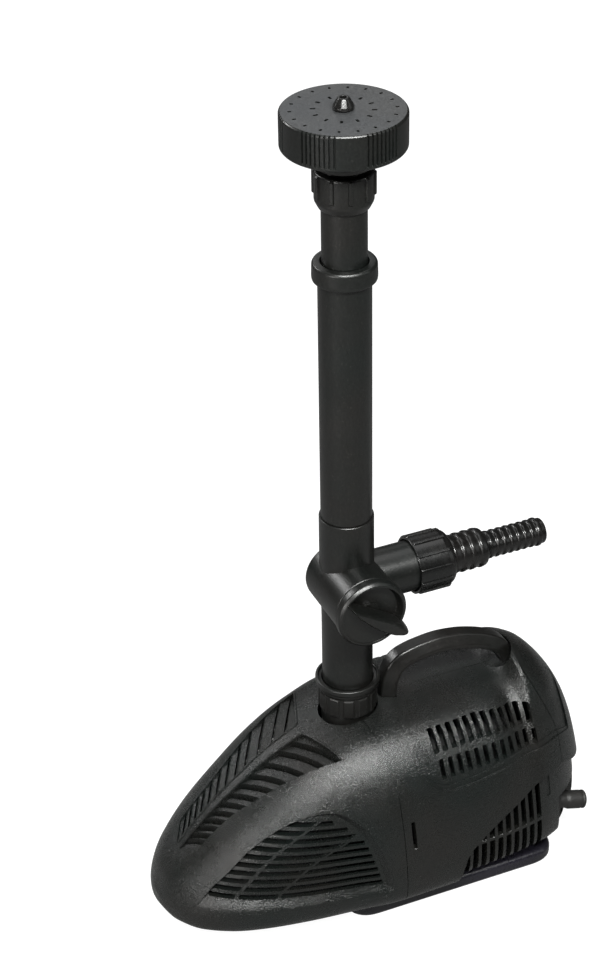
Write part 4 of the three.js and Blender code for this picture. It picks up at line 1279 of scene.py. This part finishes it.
def makeJet():
    low, high = (corner.z for corner in span("centre_jet"))
    bore, stem, root, tip = picked(jetForm, "bore stem root tip")
    jet = asObject(turned([
        (bore, low), (stem, low), (stem, high - 5.2), (root, high - 5.0, 0.3), (root, high - 3.8, 0.5),
        (tip + 0.3, high - 0.4, 0.3), (tip, high, 0.2), (bore, high), (bore, high - 1)], 0.2))

    def flute():
        down, up = jetForm["cone"]
        return ringsToSolid([
            [(r - 0.35, -0.1, z), (r + 0.7, -0.6, z), (r + 0.7, 0.6, z), (r - 0.35, 0.1, z)]
            for z, r in ((high - down, root + 0.05), (high - up, tip + 0.05))])
    cut(jet, together(aroundAxis(flute, jetForm["flutes"])))
    finishPiece(jet, "centreJet", "jet", "gloss_plastic", materials["glossPlastic"], "centre_jet", angle=40)


makeGland()
makeCollar()
makeValve()
makeKnob()
makeBranchNut()
makeHoseTail()
makeRisers()
makeBallNut()
makeSprayBase()
makeSprayCap()
makeJet()

# The pieces inside keep their own shapes and take a finish each.
innerFinish = {
    "cable_grommet": "blackRubber", "pump_housing": "pipePlastic", "housing_seal": "blackRubber",
    "impeller": "pipePlastic", "rotor_magnet": "magnetFerrite", "rotor_shaft": "bearingCeramic",
    "front_bearing": "bearingCeramic", "rear_bearing": "bearingCeramic", "motor_can": "pipePlastic",
    "stator_core": "screwSteel", "stator_coil": "coilCopper", "motor_resin": "pottingResin",
    "motor_cradle": "pipePlastic", "outlet_seal": "blackRubber", "valve_plug": "pipePlastic",
    "stem_seal": "blackRubber", "hose_washer": "blackRubber", "ball_seal": "blackRubber",
    "foot_screw_1": "screwSteel", "foot_screw_2": "screwSteel", "foot_screw_3": "screwSteel",
    "foot_screw_4": "screwSteel",
}
for node, finish in innerFinish.items():
    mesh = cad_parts[node].data
    mesh.materials.clear()
    mesh.materials.append(materials[finish])
print("inner pieces finished")

# The floor throws little light back at the black plastic, but glows white where it is seen directly.
stageForm = {"floor": (0.17, 0.17, 0.17), "size": 6.0, "surround": 0.05, "seen": 1.1, "glow": 0.96}


def makeStage():
    bm = bmesh.new()
    bmesh.ops.create_grid(bm, x_segments=8, y_segments=8, size=stageForm["size"])
    floor = asObject(bm, "studioFloor")
    floor.location.z = -0.0004
    material = bpy.data.materials.new("studioFloor")
    material.use_nodes = True
    shader = material.node_tree.nodes["Principled BSDF"]
    shader.inputs["Base Color"].default_value = (*stageForm["floor"], 1)
    shader.inputs["Roughness"].default_value = 0.9
    shader.inputs["Specular IOR Level"].default_value = 0.1
    shader.inputs["Emission Color"].default_value = (1, 1, 1, 1)
    seen = material.node_tree.nodes.new("ShaderNodeLightPath")
    glow = calculate(material.node_tree, "MULTIPLY", seen.outputs["Is Camera Ray"], stageForm["glow"])
    material.node_tree.links.new(glow, shader.inputs["Emission Strength"])
    floor.data.materials.append(material)
    world = bpy.data.worlds.new("studio")
    scene.world = world
    world.use_nodes = True
    tree = world.node_tree
    background = tree.nodes["Background"]
    background.inputs["Color"].default_value = (1, 1, 1, 1)
    path = tree.nodes.new("ShaderNodeLightPath")
    strength = remap(tree, path.outputs["Is Camera Ray"], 0.0, 1.0, stageForm["surround"], stageForm["seen"])
    tree.links.new(strength, background.inputs["Strength"])


lights = {
    "keyLeft": {"place": (-1.1, -0.55, 0.42), "aim": (-0.04, 0, 0.08), "size": (0.5, 0.45), "power": 8.0,
                "color": (1, 0.98, 0.96)},
    "softboxFront": {"place": (-0.16, -0.68, 1.06), "aim": (0, 0, 0.08), "size": (0.8, 0.14), "power": 34.0,
                     "color": (0.99, 1, 0.98)},
    "stripRight": {"place": (1.1, -0.7, 0.7), "aim": (0, 0, 0.2), "size": (0.25, 0.9), "power": 1.2,
                   "color": (0.96, 1, 0.98)},
    "overhead": {"place": (0.15, 0.25, 1.3), "aim": (0.02, 0.05, 0), "size": (0.9, 0.9), "power": 5,
                 "color": (1, 1, 1)},
    "rimBack": {"place": (-0.85, 1.1, 0.95), "aim": (0.02, 0, 0.12), "size": (0.5, 0.3), "power": 8,
                "color": (1, 1, 1)},
    "floorWash": {"place": (0.2, 2.3, 1.5), "aim": (0.1, 1.0, 0), "size": (1.6, 0.8), "power": 6,
                  "color": (1, 1, 1)},
}


def makeLights():
    for name, setting in lights.items():
        data = bpy.data.lights.new(name, "AREA")
        data.shape = "RECTANGLE"
        data.size, data.size_y = setting["size"]
        data.energy = setting["power"]
        data.color = setting["color"]
        lamp = bpy.data.objects.new(name, data)
        scene.collection.objects.link(lamp)
        lamp.location = setting["place"]
        direction = Vector(setting["aim"]) - Vector(setting["place"])
        lamp.rotation_euler = direction.to_track_quat("-Z", "Y").to_euler()


cameraForm = {
    "azimuth": -23.055, "elevation": 32.741, "roll": -1.12, "distance": 1.11226, "lens": 90.15,
    "target": (-0.01973, 0.0084, 0.230),
}


def makeCamera():
    f = cameraForm
    azimuth, elevation, roll = (math.radians(degrees) for degrees in picked(f, "azimuth elevation roll"))
    level = math.cos(elevation)
    back = Vector((math.sin(azimuth) * level, -math.cos(azimuth) * level, math.sin(elevation)))
    right = Vector((math.cos(azimuth), math.sin(azimuth), 0))
    up = back.cross(right)
    rolledRight = right * math.cos(roll) + up * math.sin(roll)
    rolledUp = up * math.cos(roll) - right * math.sin(roll)
    data = bpy.data.cameras.new("studioCamera")
    data.lens, data.sensor_width = f["lens"], 36
    camera = bpy.data.objects.new("studioCamera", data)
    scene.collection.objects.link(camera)
    matrix = Matrix((rolledRight, rolledUp, back)).transposed().to_4x4()
    matrix.translation = Vector(f["target"]) + back * f["distance"]
    camera.matrix_world = matrix
    scene.camera = camera


makeStage()
makeLights()
makeCamera()
scene.view_settings.view_transform = "Standard"
print("stage, lights and camera set")
